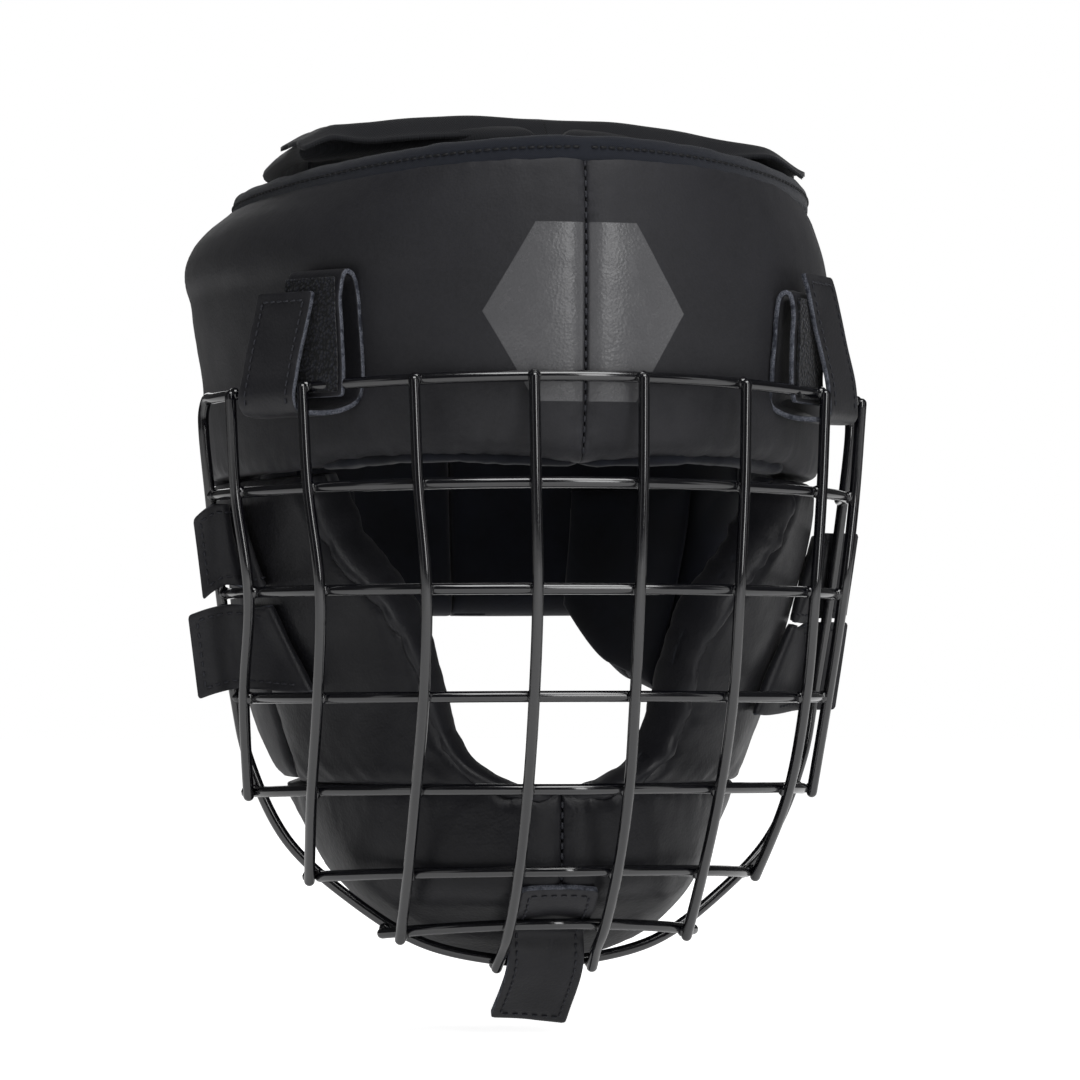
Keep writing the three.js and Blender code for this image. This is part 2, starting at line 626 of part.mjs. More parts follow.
// The flap is sewn to the left rear panel and closes over the loop tape on the right one.
function buildRearClosure() {
  const [low, high] = [14, 76];
  const tape = 1.6;
  const lift = 0.6;
  const flapLift = 4.2;
  addPiece('rear_loop_tape', pad(between(160, 178, () => low + 4, () => high - 4),
    4, 2, -lift - tape, tape, -1), textile());
  addPiece('rear_flap_base', pad(between(158, 176.5, () => low, () => high),
    4, 3, -lift - LEATHER, LEATHER, 1), leather());
  const corners = [[low, 0], [high, 0], [high, LEATHER], [low, LEATHER]];
  const ring = (theta) => corners.map(([z, out]) => guardInside(theta, z, -flapLift - out, 1));
  addPiece('rear_flap', loft([177, 181, 186, 191, 196, 201].map(ring)), leather());
}

buildPads();
buildCage();
buildTempleStraps();
buildSideStraps();
buildChinStrap();
buildCrownStrap();
buildRearClosure();

export default root;
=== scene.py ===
"""Looks of a full-face boxing headgear with a wire cage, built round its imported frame.

Lengths are in millimetres and become metres where a mesh is made. The wearer looks along -Y,
+X is on the wearer's left, and the origin is the middle of the head at eye height.
"""

import math

import bmesh
import bpy
import numpy as np
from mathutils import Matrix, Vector, noise
from mathutils.bvhtree import BVHTree


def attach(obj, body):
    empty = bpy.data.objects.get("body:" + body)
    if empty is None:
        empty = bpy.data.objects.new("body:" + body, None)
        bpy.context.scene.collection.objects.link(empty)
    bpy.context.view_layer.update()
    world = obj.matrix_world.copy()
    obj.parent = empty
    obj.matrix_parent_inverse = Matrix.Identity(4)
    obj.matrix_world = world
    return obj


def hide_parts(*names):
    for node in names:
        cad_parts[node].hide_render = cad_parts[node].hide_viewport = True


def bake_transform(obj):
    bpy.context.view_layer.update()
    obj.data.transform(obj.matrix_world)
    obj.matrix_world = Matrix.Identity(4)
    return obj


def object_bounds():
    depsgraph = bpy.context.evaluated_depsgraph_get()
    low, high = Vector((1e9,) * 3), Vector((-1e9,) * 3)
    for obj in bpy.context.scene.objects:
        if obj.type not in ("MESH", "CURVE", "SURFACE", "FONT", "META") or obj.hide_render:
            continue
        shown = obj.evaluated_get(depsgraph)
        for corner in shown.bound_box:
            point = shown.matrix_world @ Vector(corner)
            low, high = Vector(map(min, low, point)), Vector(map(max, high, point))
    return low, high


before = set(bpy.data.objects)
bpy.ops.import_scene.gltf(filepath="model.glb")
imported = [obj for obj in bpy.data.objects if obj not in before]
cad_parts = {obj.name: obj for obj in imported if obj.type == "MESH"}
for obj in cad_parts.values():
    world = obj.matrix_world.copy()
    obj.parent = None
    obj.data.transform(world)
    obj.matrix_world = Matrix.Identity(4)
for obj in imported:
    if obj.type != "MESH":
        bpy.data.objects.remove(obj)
cad_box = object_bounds()

MM = 0.001
SIDES = ((-1, "right"), (1, "left"))

# ---------- driving dimensions, as in the frame ----------
PAD = 20.0             # thickness of a pad
LINING = 4.0
SEAM = 0.8             # air between pads sewn edge to edge
WIRE_RADIUS = 2.0
WIRE_STEP = 1.8        # uprights this far outside the cage surface, cross wires inside
LEATHER = 2.4          # thickness of a strap
STRAP_HALF = 12.8
CHIN_HALF = 13.8
CHIN_X = -1.0          # the chin strap is sewn on a little to the wearer's right

# The guard's outline: height, half width, reach to the front and back, forward shift.
GUARD_SECTIONS = np.array([
    (-154, 31, 52, 0, 30), (-150, 38, 56, 0, 30), (-138, 56.5, 74, 20, 25), (-120, 71, 98.5, 40, 20),
    (-90, 86, 100, 70, 14), (-60, 95, 101, 106, 6), (-20, 105.5, 113, 118, 0),
    (20, 110, 131, 124, 0), (55, 113.5, 137, 127, 0), (95, 118, 138, 126, 0),
    (118, 112.5, 137.5, 122.5, 0), (129, 106, 136, 118, 0), (136, 99, 134, 114, 0),
], float)
# The two sides are not quite alike: height and share of the outline's half width.
RIGHT_WIDTH = np.array([
    (-154, 1), (40, 1), (60, 0.985), (90, 0.993), (99, 1.015), (104, 1.02), (110, 1.012),
    (116, 0.985), (121, 0.95), (127, 0.93), (136, 0.955),
])
LEFT_WIDTH = np.array([
    (-154, 0.91), (-105, 0.92), (-90, 0.945), (-75, 0.965), (-60, 0.99), (-20, 1.015), (13, 1.04),
    (41, 1.04), (60, 1), (122, 1), (129, 1.03), (136, 1.03),
])
# The face opening's edge: height and angle from the front.
OPENING_EDGE = np.array([
    (-87, 16.5), (-71, 25), (-43, 29.5), (-28, 33.5), (-18, 38), (0, 48), (22, 54),
], float)
BROW_Z = 24.0
BAND_BOTTOM_Z = 22.0
CHIN_TOP_Z = -87.0
FOREHEAD_END = 100.0
FOREHEAD_LINING_END = 66.0
EAR_START = 76.0
EAR_END = 132.0
NAPE_LINING_END = 150.0
CHIN_END = 88.0
EAR_HOLE = {"theta": 100.0, "z": -10.0, "half_theta": 12.0, "half_z": 24.0}
CROWN = {"half": 86, "front": -78, "back": 66, "inner": 5, "top": -10, "height": 153.2, "fall": 11.5,
         "thickness": 9}

# Cross wires from the top bar down: height, drop to the sides, reach to the front, where the
# rear upright stands, half width, two powers of the curve, and the uprights' taper.
CAGE_ROWS = (
    (55.6, 4.9, 142, 47.5, 121.7, 1.75, 2, 1),
    (18.8, 2.3, 142.3, 46.5, 118.1, 1.95, 2, 0.98),
    (-17.9, 0.8, 140, 44, 113, 2.6, 2, 0.94),
    (-55.1, 1, 133.3, 41.6, 108.1, 2.5, 2, 0.93),
    (-88.2, 1.8, 125.5, 45, 103.8, 1.6, 1.7, 0.92),
    (-117.7, 3, 109.5, 49, 82, 1.5, 1.5, 0.9),
    (-137.5, 4, 90.5, 57, 60, 1.5, 1.5, 0.885),
)
UPRIGHT_X = (19.1, 58.5, 93.3, 114.1)
UPRIGHT_LAST_ROW = (6, 6, 5, 4)
UPRIGHT_TOP = np.array((118.1, -46.5, 16.5))
UPRIGHT_BOTTOM = np.array((108.1, -41.6, -56))
HOOP = (
    (108.1, -41.6, -56), (103.2, -43, -79), (90, -47, -107.3), (67.3, -54, -128.7),
    (43.5, -60.5, -143.7), (20, -64.7, -149.6), (0, -66, -151),
)


# ---------- curves and tables ----------
def lerp(a, b, t):
    return a + (b - a) * t


def smooth_table(x, xs, ys):
    """A smooth curve through a table, with no overshoot. xs rise."""
    x = np.clip(x, xs[0], xs[-1])
    steps = np.diff(xs)
    slopes = np.diff(ys) / steps
    tangents = np.zeros(len(ys))
    tangents[0], tangents[-1] = slopes[0], slopes[-1]
    for k in range(1, len(ys) - 1):
        before, after = slopes[k - 1], slopes[k]
        if before * after > 0:
            tangents[k] = 2 * before * after / (before + after)
    i = np.clip(np.searchsorted(xs, x) - 1, 0, len(steps) - 1)
    h = steps[i]
    t = (x - xs[i]) / h
    return ((1 + 2 * t) * (1 - t) ** 2 * ys[i] + t * (1 - t) ** 2 * h * tangents[i]
            + t * t * (3 - 2 * t) * ys[i + 1] + t * t * (t - 1) * h * tangents[i + 1])


def smooth_step(x, low, high):
    t = np.clip((x - low) / (high - low), 0, 1)
    return t * t * (3 - 2 * t)


def spline(points, step, closed=False):
    """Points about a step apart on a centripetal Catmull-Rom curve."""
    p = np.asarray(points, float)
    if closed:
        p = np.vstack((p[-1], p, p[0], p[1]))
    else:
        p = np.vstack((2 * p[0] - p[1], p, 2 * p[-1] - p[-2]))
    found = []
    for k in range(1, len(p) - 2):
        a, b, c, d = p[k - 1:k + 3]
        t0 = 0.0
        t1 = t0 + max(np.linalg.norm(b - a), 1e-6) ** 0.5
        t2 = t1 + max(np.linalg.norm(c - b), 1e-6) ** 0.5
        t3 = t2 + max(np.linalg.norm(d - c), 1e-6) ** 0.5
        count = max(2, math.ceil(np.linalg.norm(c - b) / step))
        for t in np.linspace(t1, t2, count, endpoint=False):
            ab = ((t1 - t) * a + (t - t0) * b) / (t1 - t0)
            bc = ((t2 - t) * b + (t - t1) * c) / (t2 - t1)
            cd = ((t3 - t) * c + (t - t2) * d) / (t3 - t2)
            abc = ((t2 - t) * ab + (t - t0) * bc) / (t2 - t0)
            bcd = ((t3 - t) * bc + (t - t1) * cd) / (t3 - t1)
            found.append(((t2 - t) * abc + (t - t1) * bcd) / (t2 - t1))
    if not closed:
        found.append(p[-2])
    return np.array(found)


def unit(v):
    return v / np.maximum(np.linalg.norm(v, axis=-1, keepdims=True), 1e-9)


def lengths_along(points):
    return np.concatenate(([0.0], np.cumsum(np.linalg.norm(np.diff(points, axis=0), axis=1))))


def rough(points, size, seed):
    """Smooth noise, about -1 to 1, with features of that size."""
    shift = np.array((seed * 3.7, seed * 1.9, seed * 2.3))
    flat = np.asarray(points, float).reshape(-1, 3) / size + shift
    return np.array([noise.noise(p) for p in flat]).reshape(np.shape(points)[:-1]) * 1.6


def graded(length, fine, step):
    """Values from 0 to 1 that stand close together at both ends."""
    gaps = [fine]
    while gaps[-1] < step and 2 * sum(gaps) < length * 0.8:
        gaps.append(gaps[-1] * 1.4)
    edge = np.concatenate(([0.0], np.cumsum(gaps)))
    middle = length - 2 * edge[-1]
    inner = edge[-1] + middle * np.linspace(0, 1, max(2, math.ceil(middle / step)) + 1)[1:-1]
    return np.concatenate((edge, inner, length - edge[::-1])) / length


# ---------- the guard's and the cage's surfaces ----------
def outline_sizes(z, side):
    """The outline's half width, reach to the front and back, and forward shift at a height."""
    half, front, back, shift = (
        smooth_table(z, GUARD_SECTIONS[:, 0], GUARD_SECTIONS[:, k]) for k in range(1, 5))
    right, left = (smooth_table(z, table[:, 0], table[:, 1]) for table in (RIGHT_WIDTH, LEFT_WIDTH))
    return half * np.where(np.asarray(side) < 0, right, left), front, back, shift


def guard_outline(theta, z, side):
    """A point of the outer surface, for either side on the +X side."""
    half, front, back, shift = outline_sizes(z, side)
    turn = np.radians(theta)
    reach = np.where(np.cos(turn) > 0, front - shift, back + shift)
    return np.stack((half * np.sin(turn), -shift - reach * np.cos(turn), z), -1)


def guard_normal(theta, z, side):
    turn = guard_outline(theta + 1, z, side) - guard_outline(theta - 1, z, side)
    rise = guard_outline(theta, z + 6, side) - guard_outline(theta, z - 6, side)
    return unit(np.cross(turn, rise))


def guard(theta, z, depth, side):
    """The point that lies depth inside the guard's outer surface."""
    theta, z, depth = np.broadcast_arrays(*(np.asarray(a, float) for a in (theta, z, depth)))
    return guard_outline(theta, z, side) - guard_normal(theta, z, side) * depth[..., None]


def guard_line(theta, z, depth, side=1):
    """A line round both sides of the guard. The wearer's right has angles below zero."""
    sign = np.where(theta < 0, -1, 1)
    line = guard(np.abs(theta), z, depth, side * sign)
    line[:, 0] *= sign
    return line


def opening_edge(z, side):
    wider = 2.5 * smooth_step(-z, 35, 60) if side > 0 else 0.0
    return smooth_table(z, OPENING_EDGE[:, 0], OPENING_EDGE[:, 1]) + wider


HALF_SEAM = math.degrees(SEAM / 2 / 110)


def top_edge(theta):
    return 135 - 9 * np.sin(np.radians(np.minimum(theta, 90))) ** 2


def brow_edge(theta):
    return BROW_Z + 3 * np.sin(np.radians(np.clip(theta * 3, 0, 180)))


def ear_bottom(theta):
    return lerp(-86, -54, np.clip((theta - CHIN_END) / (EAR_END - CHIN_END), 0, 1) ** 0.8)


def nape_bottom(theta):
    return lerp(-54, -27, np.clip((theta - EAR_END) / 18, 0, 1) ** 1.5)


def chin_bottom(theta):
    return lerp(-154, -118, np.clip(theta / CHIN_END, 0, 1) ** 4)


def crown_height(x, y):
    return CROWN["height"] - CROWN["fall"] * (((x - CROWN["top"]) / 105) ** 2 + (y / 125) ** 2)


def cage_surface(row, x):
    z, drop, front, rear, half, across, along, _ = CAGE_ROWS[row]
    share = min(abs(x) / half, 0.9999)
    reach = (1 - share ** across) ** (1 / along)
    return np.array((x, -rear - (front - rear) * reach, z - drop * share ** 2))


def cage_normal(row, x):
    tangent = cage_surface(row, x + 0.5) - cage_surface(row, x - 0.5)
    if row < 4:
        return unit(np.array((tangent[1], -tangent[0], 0.0)))
    above, below = row - 1, min(row + 1, len(CAGE_ROWS) - 1)
    taper = CAGE_ROWS[row][7]
    rise = (cage_surface(above, x * CAGE_ROWS[above][7] / taper)
            - cage_surface(below, x * CAGE_ROWS[below][7] / taper))
    return unit(np.cross(tangent, rise))


# ---------- meshes ----------
def grid_faces(rows, columns, start=0, close_rows=False, close_columns=False):
    """Quads over a grid of points stored row by row."""
    i = np.arange(rows if close_rows else rows - 1)
    j = np.arange(columns if close_columns else columns - 1)
    i, j = (a.ravel() for a in np.meshgrid(i, j, indexing="ij"))
    i2, j2 = (i + 1) % rows, (j + 1) % columns
    return (start + np.stack((i * columns + j, i * columns + j2, i2 * columns + j2,
                              i2 * columns + j), 1)).tolist()


def add_mesh(name, points, faces, materials, kinds=None, values=None, weld=0.02):
    """A closed, smooth mesh. kinds gives each face's material, values the points' attributes."""
    mesh = bpy.data.meshes.new(name)
    mesh.from_pydata((np.asarray(points, float) * MM).tolist(), [], faces)
    for material in materials:
        mesh.materials.append(material)
    if kinds is not None:
        mesh.polygons.foreach_set("material_index", np.asarray(kinds, np.int32))
    for key, numbers in (values or {}).items():
        layer = mesh.attributes.new(key, "FLOAT", "POINT")
        layer.data.foreach_set("value", np.asarray(numbers, np.float32).ravel())
    shape = bmesh.new()
    shape.from_mesh(mesh)
    bmesh.ops.remove_doubles(shape, verts=shape.verts, dist=weld * MM)
    bmesh.ops.recalc_face_normals(shape, faces=shape.faces)
    shape.to_mesh(mesh)
    shape.free()
    mesh.polygons.foreach_set("use_smooth", np.ones(len(mesh.polygons), bool))
    piece = bpy.data.objects.new(name, mesh)
    bpy.context.scene.collection.objects.link(piece)
    return piece


def shell(front, back, ring=False):
    """Points of two grids, with the front's faces, the back's faces and the walls between them.
    A ring's rows close on themselves, so that it has an outer and an inner wall."""
    rows, columns = front.shape[:2]
    count = rows * columns
    faces = grid_faces(rows, columns, 0, close_rows=ring)
    backs = [face[::-1] for face in grid_faces(rows, columns, count, close_rows=ring)]
    if ring:
        rims = [[r * columns for r in range(rows)], [r * columns + columns - 1 for r in range(rows)]]
    else:
        rims = [list(range(columns)) + [r * columns + columns - 1 for r in range(1, rows)]
                + [(rows - 1) * columns + c for c in range(columns - 2, -1, -1)]
                + [r * columns for r in range(rows - 2, 0, -1)]]
    walls = [[a, b, b + count, a + count] for rim in rims for a, b in zip(rim, rim[1:] + rim[:1])]
    return np.concatenate((front.reshape(-1, 3), back.reshape(-1, 3))), faces, backs, walls


def twice(values):
    """Values of the front's points, repeated for the back's."""
    return np.concatenate((values.ravel(), values.ravel()))


def settle(piece, body, nodes=()):
    """Tells the frame what the piece rides on, and hides the parts that it stands for."""
    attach(piece, body)
    if nodes:
        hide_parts(*nodes)
    return piece


def mirror(points, side):
    return np.asarray(points, float) * np.array((side, 1.0, 1.0))


# ---------- materials ----------
class Shader:
    """A node material with a few short words for what is used most."""

    def __init__(self, name):
        self.material = bpy.data.materials.new(name)
        self.material.use_nodes = True
        self.tree = self.material.node_tree
        self.surface = self.tree.nodes["Principled BSDF"]
        self.place = self.node("ShaderNodeTexCoord").outputs["Object"]

    def node(self, kind, inputs=None, **settings):
        made = self.tree.nodes.new(kind)
        for key, value in settings.items():
            setattr(made, key, value)
        for key, value in (inputs or {}).items():
            socket = made.inputs[key]
            if isinstance(value, bpy.types.NodeSocket):
                self.tree.links.new(value, socket)
            else:
                socket.default_value = value
        return made

    def math(self, operation, a, b=0.0, c=0.0):
        made = self.node("ShaderNodeMath", {0: a, 1: b}, operation=operation)
        if operation in ("MULTIPLY_ADD", "SMOOTH_MIN", "SMOOTH_MAX"):
            made.inputs[2].default_value = c
        return made.outputs[0]

    def noise(self, size, detail=3.0, roughness=0.55):
        """Noise from 0 to 1 with features of that size in millimetres."""
        return self.node("ShaderNodeTexNoise", {
            "Vector": self.place, "Scale": 1000 / size, "Detail": detail,
            "Roughness": roughness}).outputs[0]

    def cells(self, size):
        return self.node("ShaderNodeTexVoronoi", {
            "Vector": self.place, "Scale": 1000 / size}).outputs["Distance"]

    def value(self, name):
        return self.node("ShaderNodeAttribute", attribute_name=name).outputs["Fac"]

    def span(self, value, low, high, to_low=0.0, to_high=1.0):
        return self.node("ShaderNodeMapRange", {
            "Value": value, "From Min": low, "From Max": high, "To Min": to_low,
            "To Max": to_high}).outputs[0]

    def mix(self, share, a, b):
        made = self.node("ShaderNodeMix", {0: share, 6: a, 7: b}, data_type="RGBA")
        return made.outputs[2]

    def bump(self, height, distance, strength, before=None):
        """Bump of that many millimetres."""
        inputs = {"Height": height, "Distance": distance * MM, "Strength": strength}
        if before is not None:
            inputs["Normal"] = before
        return self.node("ShaderNodeBump", inputs).outputs[0]

    def finish(self, color, roughness, normal=None, **fixed):
        wired = {"Base Color": color, "Roughness": roughness, "Normal": normal}
        for key, value in wired.items():
            if isinstance(value, bpy.types.NodeSocket):
                self.tree.links.new(value, self.surface.inputs[key])
            elif value is not None:
                self.surface.inputs[key].default_value = value
        for key, value in fixed.items():
            self.surface.inputs[key.replace("_", " ")].default_value = value
        return self.material


def grey(r, g=None, b=None):
    """A linear colour from one to three sRGB numbers of 0 to 255."""
    numbers = (r, r if g is None else g, r if b is None else b)
    return tuple(((n / 255 + 0.055) / 1.055) ** 2.4 if n > 10 else n / 255 / 12.92
                 for n in numbers) + (1.0,)


def leather_grain(s, creased=0.12):
    """Fine pebbles, pores and slow creases of soft leather."""
    pebble = s.cells(1.1)
    fine = s.noise(0.45, 2.0)
    crease = s.noise(9.0, 4.0, 0.6)
    normal = s.bump(crease, 1.2, creased)
    normal = s.bump(pebble, 0.16, 0.32, normal)
    return s.bump(fine, 0.07, 0.3, normal)


def leather_material(name, emblem=False, shine=0.0, tone=1.0, creased=0.12, gloss=0.42):
    s = Shader(name)
    patches = s.noise(38.0, 3.0)
    speck = s.noise(1.6, 2.0)
    rim = s.value("rim")
    low, high, fleck, bare = (grey(n * tone, n * tone, n * tone + 5) for n in (17, 24, 33, 60))
    base = s.mix(s.span(patches, 0.35, 0.65), low, high)
    base = s.mix(s.span(speck, 0.35, 0.7, 0.0, 0.3), base, fleck)
    worn = s.math("MULTIPLY", rim, s.span(s.noise(5.0), 0.42, 0.62))
    base = s.mix(s.math("MULTIPLY", worn, 0.4), base, bare)
    matte = s.span(s.noise(14.0), 0.3, 0.7, 0.5 - shine, 0.62 - shine)
    normal = leather_grain(s, creased)
    if emblem:
        # a plain glossy six-sided print on the forehead, worn through along the seam
        parts = s.node("ShaderNodeSeparateXYZ", {0: s.place}).outputs
        across = s.math("ABSOLUTE", parts[0])
        up = s.math("ABSOLUTE", s.math("SUBTRACT", parts[2], EMBLEM_Z * MM))
        slanted = s.math("ADD", s.math("MULTIPLY", up, 0.5), s.math("MULTIPLY", across, 0.866))
        reach = s.math("MAXIMUM", up, slanted)
        front = s.span(parts[1], -0.09, -0.1)
        inside = s.span(reach, (EMBLEM_HALF + 0.15) * MM, (EMBLEM_HALF - 0.15) * MM)
        inside = s.math("MULTIPLY", inside, front)
        inside = s.math("MULTIPLY", inside, s.span(across, 0.7 * MM, 1.6 * MM))
        base = s.mix(inside, base, grey(82, 82, 84))
        film = s.span(s.noise(6.0, 5.0, 0.7), 0.35, 0.7, 0.2, 0.32)
        matte = s.math("ADD", s.math("MULTIPLY", matte, s.math("SUBTRACT", 1.0, inside)),
                       s.math("MULTIPLY", film, inside))
    return s.finish(base, matte, normal, Specular_IOR_Level=gloss, Sheen_Weight=0.05)


def suede_material(name, dark, light):
    """Leather's rough back, or a brushed lining."""
    s = Shader(name)
    nap = s.noise(0.6, 4.0, 0.7)
    patches = s.noise(22.0)
    base = s.mix(s.span(patches, 0.35, 0.65), dark, light)
    normal = s.bump(s.noise(7.0, 3.0), 0.8, 0.15)
    return s.finish(base, 0.86, s.bump(nap, 0.2, 0.5, normal), Sheen_Weight=0.12,
                    Specular_IOR_Level=0.25)


def woven_material(name, dark, light, pitch):
    """Woven tape: two sets of threads over and under one another."""
    s = Shader(name)
    turn = 2 * math.pi / pitch
    warp = s.math("SINE", s.math("MULTIPLY", s.value("along"), turn))
    weft = s.math("SINE", s.math("MULTIPLY", s.value("across"), turn))
    check = s.math("MULTIPLY", warp, weft)
    fibre = s.noise(0.35, 3.0, 0.7)
    height = s.math("ADD", s.span(check, -1, 1, 0.0, 0.8), s.math("MULTIPLY", fibre, 0.5))
    base = s.mix(s.span(height, 0.2, 1.0), dark, light)
    return s.finish(base, 0.82, s.bump(height, 0.25, 0.6), Sheen_Weight=0.15,
                    Specular_IOR_Level=0.25)


def loop_material(name, dark, light):
    """Hook-and-loop tape: small dense loops in rows."""
    s = Shader(name)
    loops = s.cells(1.3)
    fibre = s.noise(0.4, 3.0, 0.7)
    height = s.math("ADD", s.span(loops, 0.1, 0.7, 1.0, 0.0), s.math("MULTIPLY", fibre, 0.5))
    base = s.mix(s.span(height, 0.35, 1.2), dark, light)
    return s.finish(base, 0.85, s.bump(height, 0.5, 0.9), Sheen_Weight=0.1, Specular_IOR_Level=0.25)


def cut_edge_material(name):
    """The pale, fibrous cut edge of a two-layer strap."""
    s = Shader(name)
    fibre = s.noise(0.5, 4.0, 0.7)
    layer = s.noise(3.0, 3.0)
    base = s.mix(s.span(fibre, 0.38, 0.62), grey(48, 51, 60), grey(108, 111, 120))
    base = s.mix(s.span(layer, 0.5, 0.65), base, grey(38, 41, 50))
    return s.finish(base, 0.8, s.bump(fibre, 0.25, 0.6), Specular_IOR_Level=0.3)


def coated_wire_material(name):
    s = Shader(name)
    flow = s.noise(5.0, 2.0)
    fine = s.noise(0.8, 2.0)
    base = s.mix(s.span(flow, 0.35, 0.65), grey(5, 5, 9), grey(10, 10, 15))
    roughness = s.span(fine, 0.3, 0.7, 0.12, 0.19)
    normal = s.bump(flow, 0.25, 0.12)
    return s.finish(base, roughness, normal, Specular_IOR_Level=0.75, Coat_Weight=0.5,
                    Coat_Roughness=0.07)


def thread_material(name, dark, light):
    s = Shader(name)
    twist = s.noise(0.4, 2.0)
    base = s.mix(s.span(twist, 0.3, 0.7), dark, light)
    return s.finish(base, 0.6, s.bump(twist, 0.1, 0.5), Specular_IOR_Level=0.35)


EMBLEM_Z = 78.0
EMBLEM_HALF = 31.0

LEATHER_FINISH = leather_material("leather")
# cheeks and chin: a shinier, more creased leather whose tone of 0.55 paints it darker, a painted
# shade on the lower pads that face down
SHINY_PAINTED_SHADE_FINISH = leather_material("shiny_leather_painted_shade", shine=0.14, tone=0.55, creased=0.3, gloss=0.27)
FOREHEAD_FINISH = leather_material("forehead_leather", emblem=True, shine=-0.06)
STRAP_FINISH = leather_material("strap_leather", shine=0.08, tone=0.8, gloss=0.36)
LINING_FINISH = suede_material("lining", grey(10, 12, 19), grey(17, 20, 30))
BACKING_FINISH = suede_material("strap_backing", grey(30, 32, 40), grey(44, 46, 54))
CUT_FINISH = cut_edge_material("cut_edge")
BINDING_FINISH = woven_material("binding", grey(10, 13, 19), grey(27, 31, 42), 0.7)
LOOP_FINISH = loop_material("loop_tape", grey(3, 4, 7), grey(30, 32, 41))
CROWN_FINISH = woven_material("crown_textile", grey(8, 9, 12), grey(25, 26, 31), 0.9)
WIRE_FINISH = coated_wire_material("coated_wire")
THREAD_FINISH = thread_material("thread", grey(22, 23, 28), grey(44, 45, 52))
DARK_THREAD_FINISH = thread_material("binding_thread", grey(4, 5, 7), grey(16, 17, 22))


# ---------- sewn pads ----------
SEAM_WIDTH, SEAM_DROP = 6.5, 2.6
FREE_WIDTH = 9.0
WEAR_WIDTH = 3.2       # how far wear reaches in from a pad's edge
surfaces = {}


class Edge:
    """One edge of a pad. free is 0 where it is sewn to a neighbour and 1 where it rolls round."""

    def __init__(self, free=0.0, pucker=0.3, drop=SEAM_DROP):
        self.free, self.pucker, self.drop = free, pucker, drop

    def dip(self, distance, free, thickness, inner):
        width = lerp(SEAM_WIDTH, FREE_WIDTH, free)
        drop = lerp(1.5 if inner else self.drop, thickness / 2, free)
        share = np.clip(1 - distance / width, 0, 1)
        return drop * (1 - np.sqrt(1 - share ** 2))


def padded_solid(name, theta, z, side, edges, ring=False, crown=1.2, thickness=PAD, depth=0.0,
                 finishes=(LEATHER_FINISH, LINING_FINISH), seed=1, lumps=0.5):
    """A crowned pad over a grid of angles and heights.

    edges holds up to four edges, named left, right, low and high after the grid's directions:
    rows run from low to high, columns from left to right."""
    base = guard(theta, z, depth, side)
    across = np.concatenate((np.zeros((len(theta), 1)), np.cumsum(
        np.linalg.norm(np.diff(base, axis=1), axis=2), axis=1)), axis=1)
    upward = np.concatenate((np.zeros((1, theta.shape[1])), np.cumsum(
        np.linalg.norm(np.diff(base, axis=0), axis=2), axis=0)), axis=0)
    distance = {"left": across, "right": across[:, -1:] - across,
                "low": upward, "high": upward[-1:] - upward}
    along = {"left": upward, "right": upward, "low": across, "high": across}
    outer, inner = np.zeros(theta.shape), np.zeros(theta.shape)
    rise = np.ones(theta.shape)
    near = np.full(theta.shape, 1e3)
    folds = np.zeros(theta.shape)
    for k, (key, edge) in enumerate(edges.items()):
        e = distance[key]
        free = edge.free(theta, z) if callable(edge.free) else np.full(theta.shape, edge.free)
        outer += edge.dip(e, free, thickness, False) ** 3
        inner += edge.dip(e, free, thickness, True) ** 3
        rise *= 1 - np.exp(-e / 13)
        near = np.minimum(near, e)
        line = np.stack((along[key] / 5.5, e / 26, np.full(theta.shape, k * 7.0)), -1)
        wave = rough(line, 1.0, seed + 11) + 0.5 * rough(line * (2.1, 1.6, 1), 1.0, seed + 17)
        pucker = edge.pucker(theta, z) if callable(edge.pucker) else edge.pucker
        folds += pucker * wave * np.exp(-e / 6.5) * smooth_step(e, 0.2, 2.0)
    outer = np.minimum(np.cbrt(outer), thickness / 2)
    inner = np.minimum(np.cbrt(inner), thickness / 2)
    slow = lumps * rough(base, 34, seed) * rise + 0.25 * lumps * rough(base, 11, seed + 3) * rise
    front = guard(theta, z, depth + outer - crown * rise - slow - folds, side)
    back = guard(theta, z, depth + thickness - inner + 0.6 * rise, side)
    points, faces, backs, walls = shell(front, back, ring)
    points = mirror(points, side)
    kinds = [0] * len(faces) + [1] * len(backs) + [0] * len(walls)
    piece = add_mesh(name, points, faces + backs + walls, finishes, kinds,
                     {"rim": twice(np.exp(-near / WEAR_WIDTH))})
    surfaces[name] = BVHTree.FromPolygons([Vector(p) for p in points], faces)
    return piece


def grid_between(low_theta, high_theta, low, high, fine=0.5, step=1.9):
    """Angles and heights over the space between two angles and two height curves."""
    width = math.radians(high_theta - low_theta) * 115
    ends = np.array([low_theta, (low_theta + high_theta) / 2, high_theta])
    height = float(np.max(high(ends) - low(ends)))
    u, v = np.meshgrid(graded(width, fine, step), graded(height, fine, step))
    theta = lerp(low_theta, high_theta, u)
    return theta, lerp(low(theta), high(theta), v)


def level(z):
    return lambda theta: np.full(np.shape(theta), z, float)


def build_forehead(side, word):
    theta, z = grid_between(HALF_SEAM * 0.6, FOREHEAD_END, brow_edge, top_edge)
    edges = {
        "left": Edge(0, 0.22, 1.5), "right": Edge(0, 0.3),
        "low": Edge(lambda t, z: 1 - smooth_step(t, 50, 56), 1.1), "high": Edge(0, 0.25, 2.0),
    }
    piece = padded_solid(f"forehead_{word}", theta, z, side, edges, crown=1.4, seed=3 + side,
                         finishes=(FOREHEAD_FINISH, LINING_FINISH))
    settle(piece, "guard", [f"forehead_pad_{word}"])


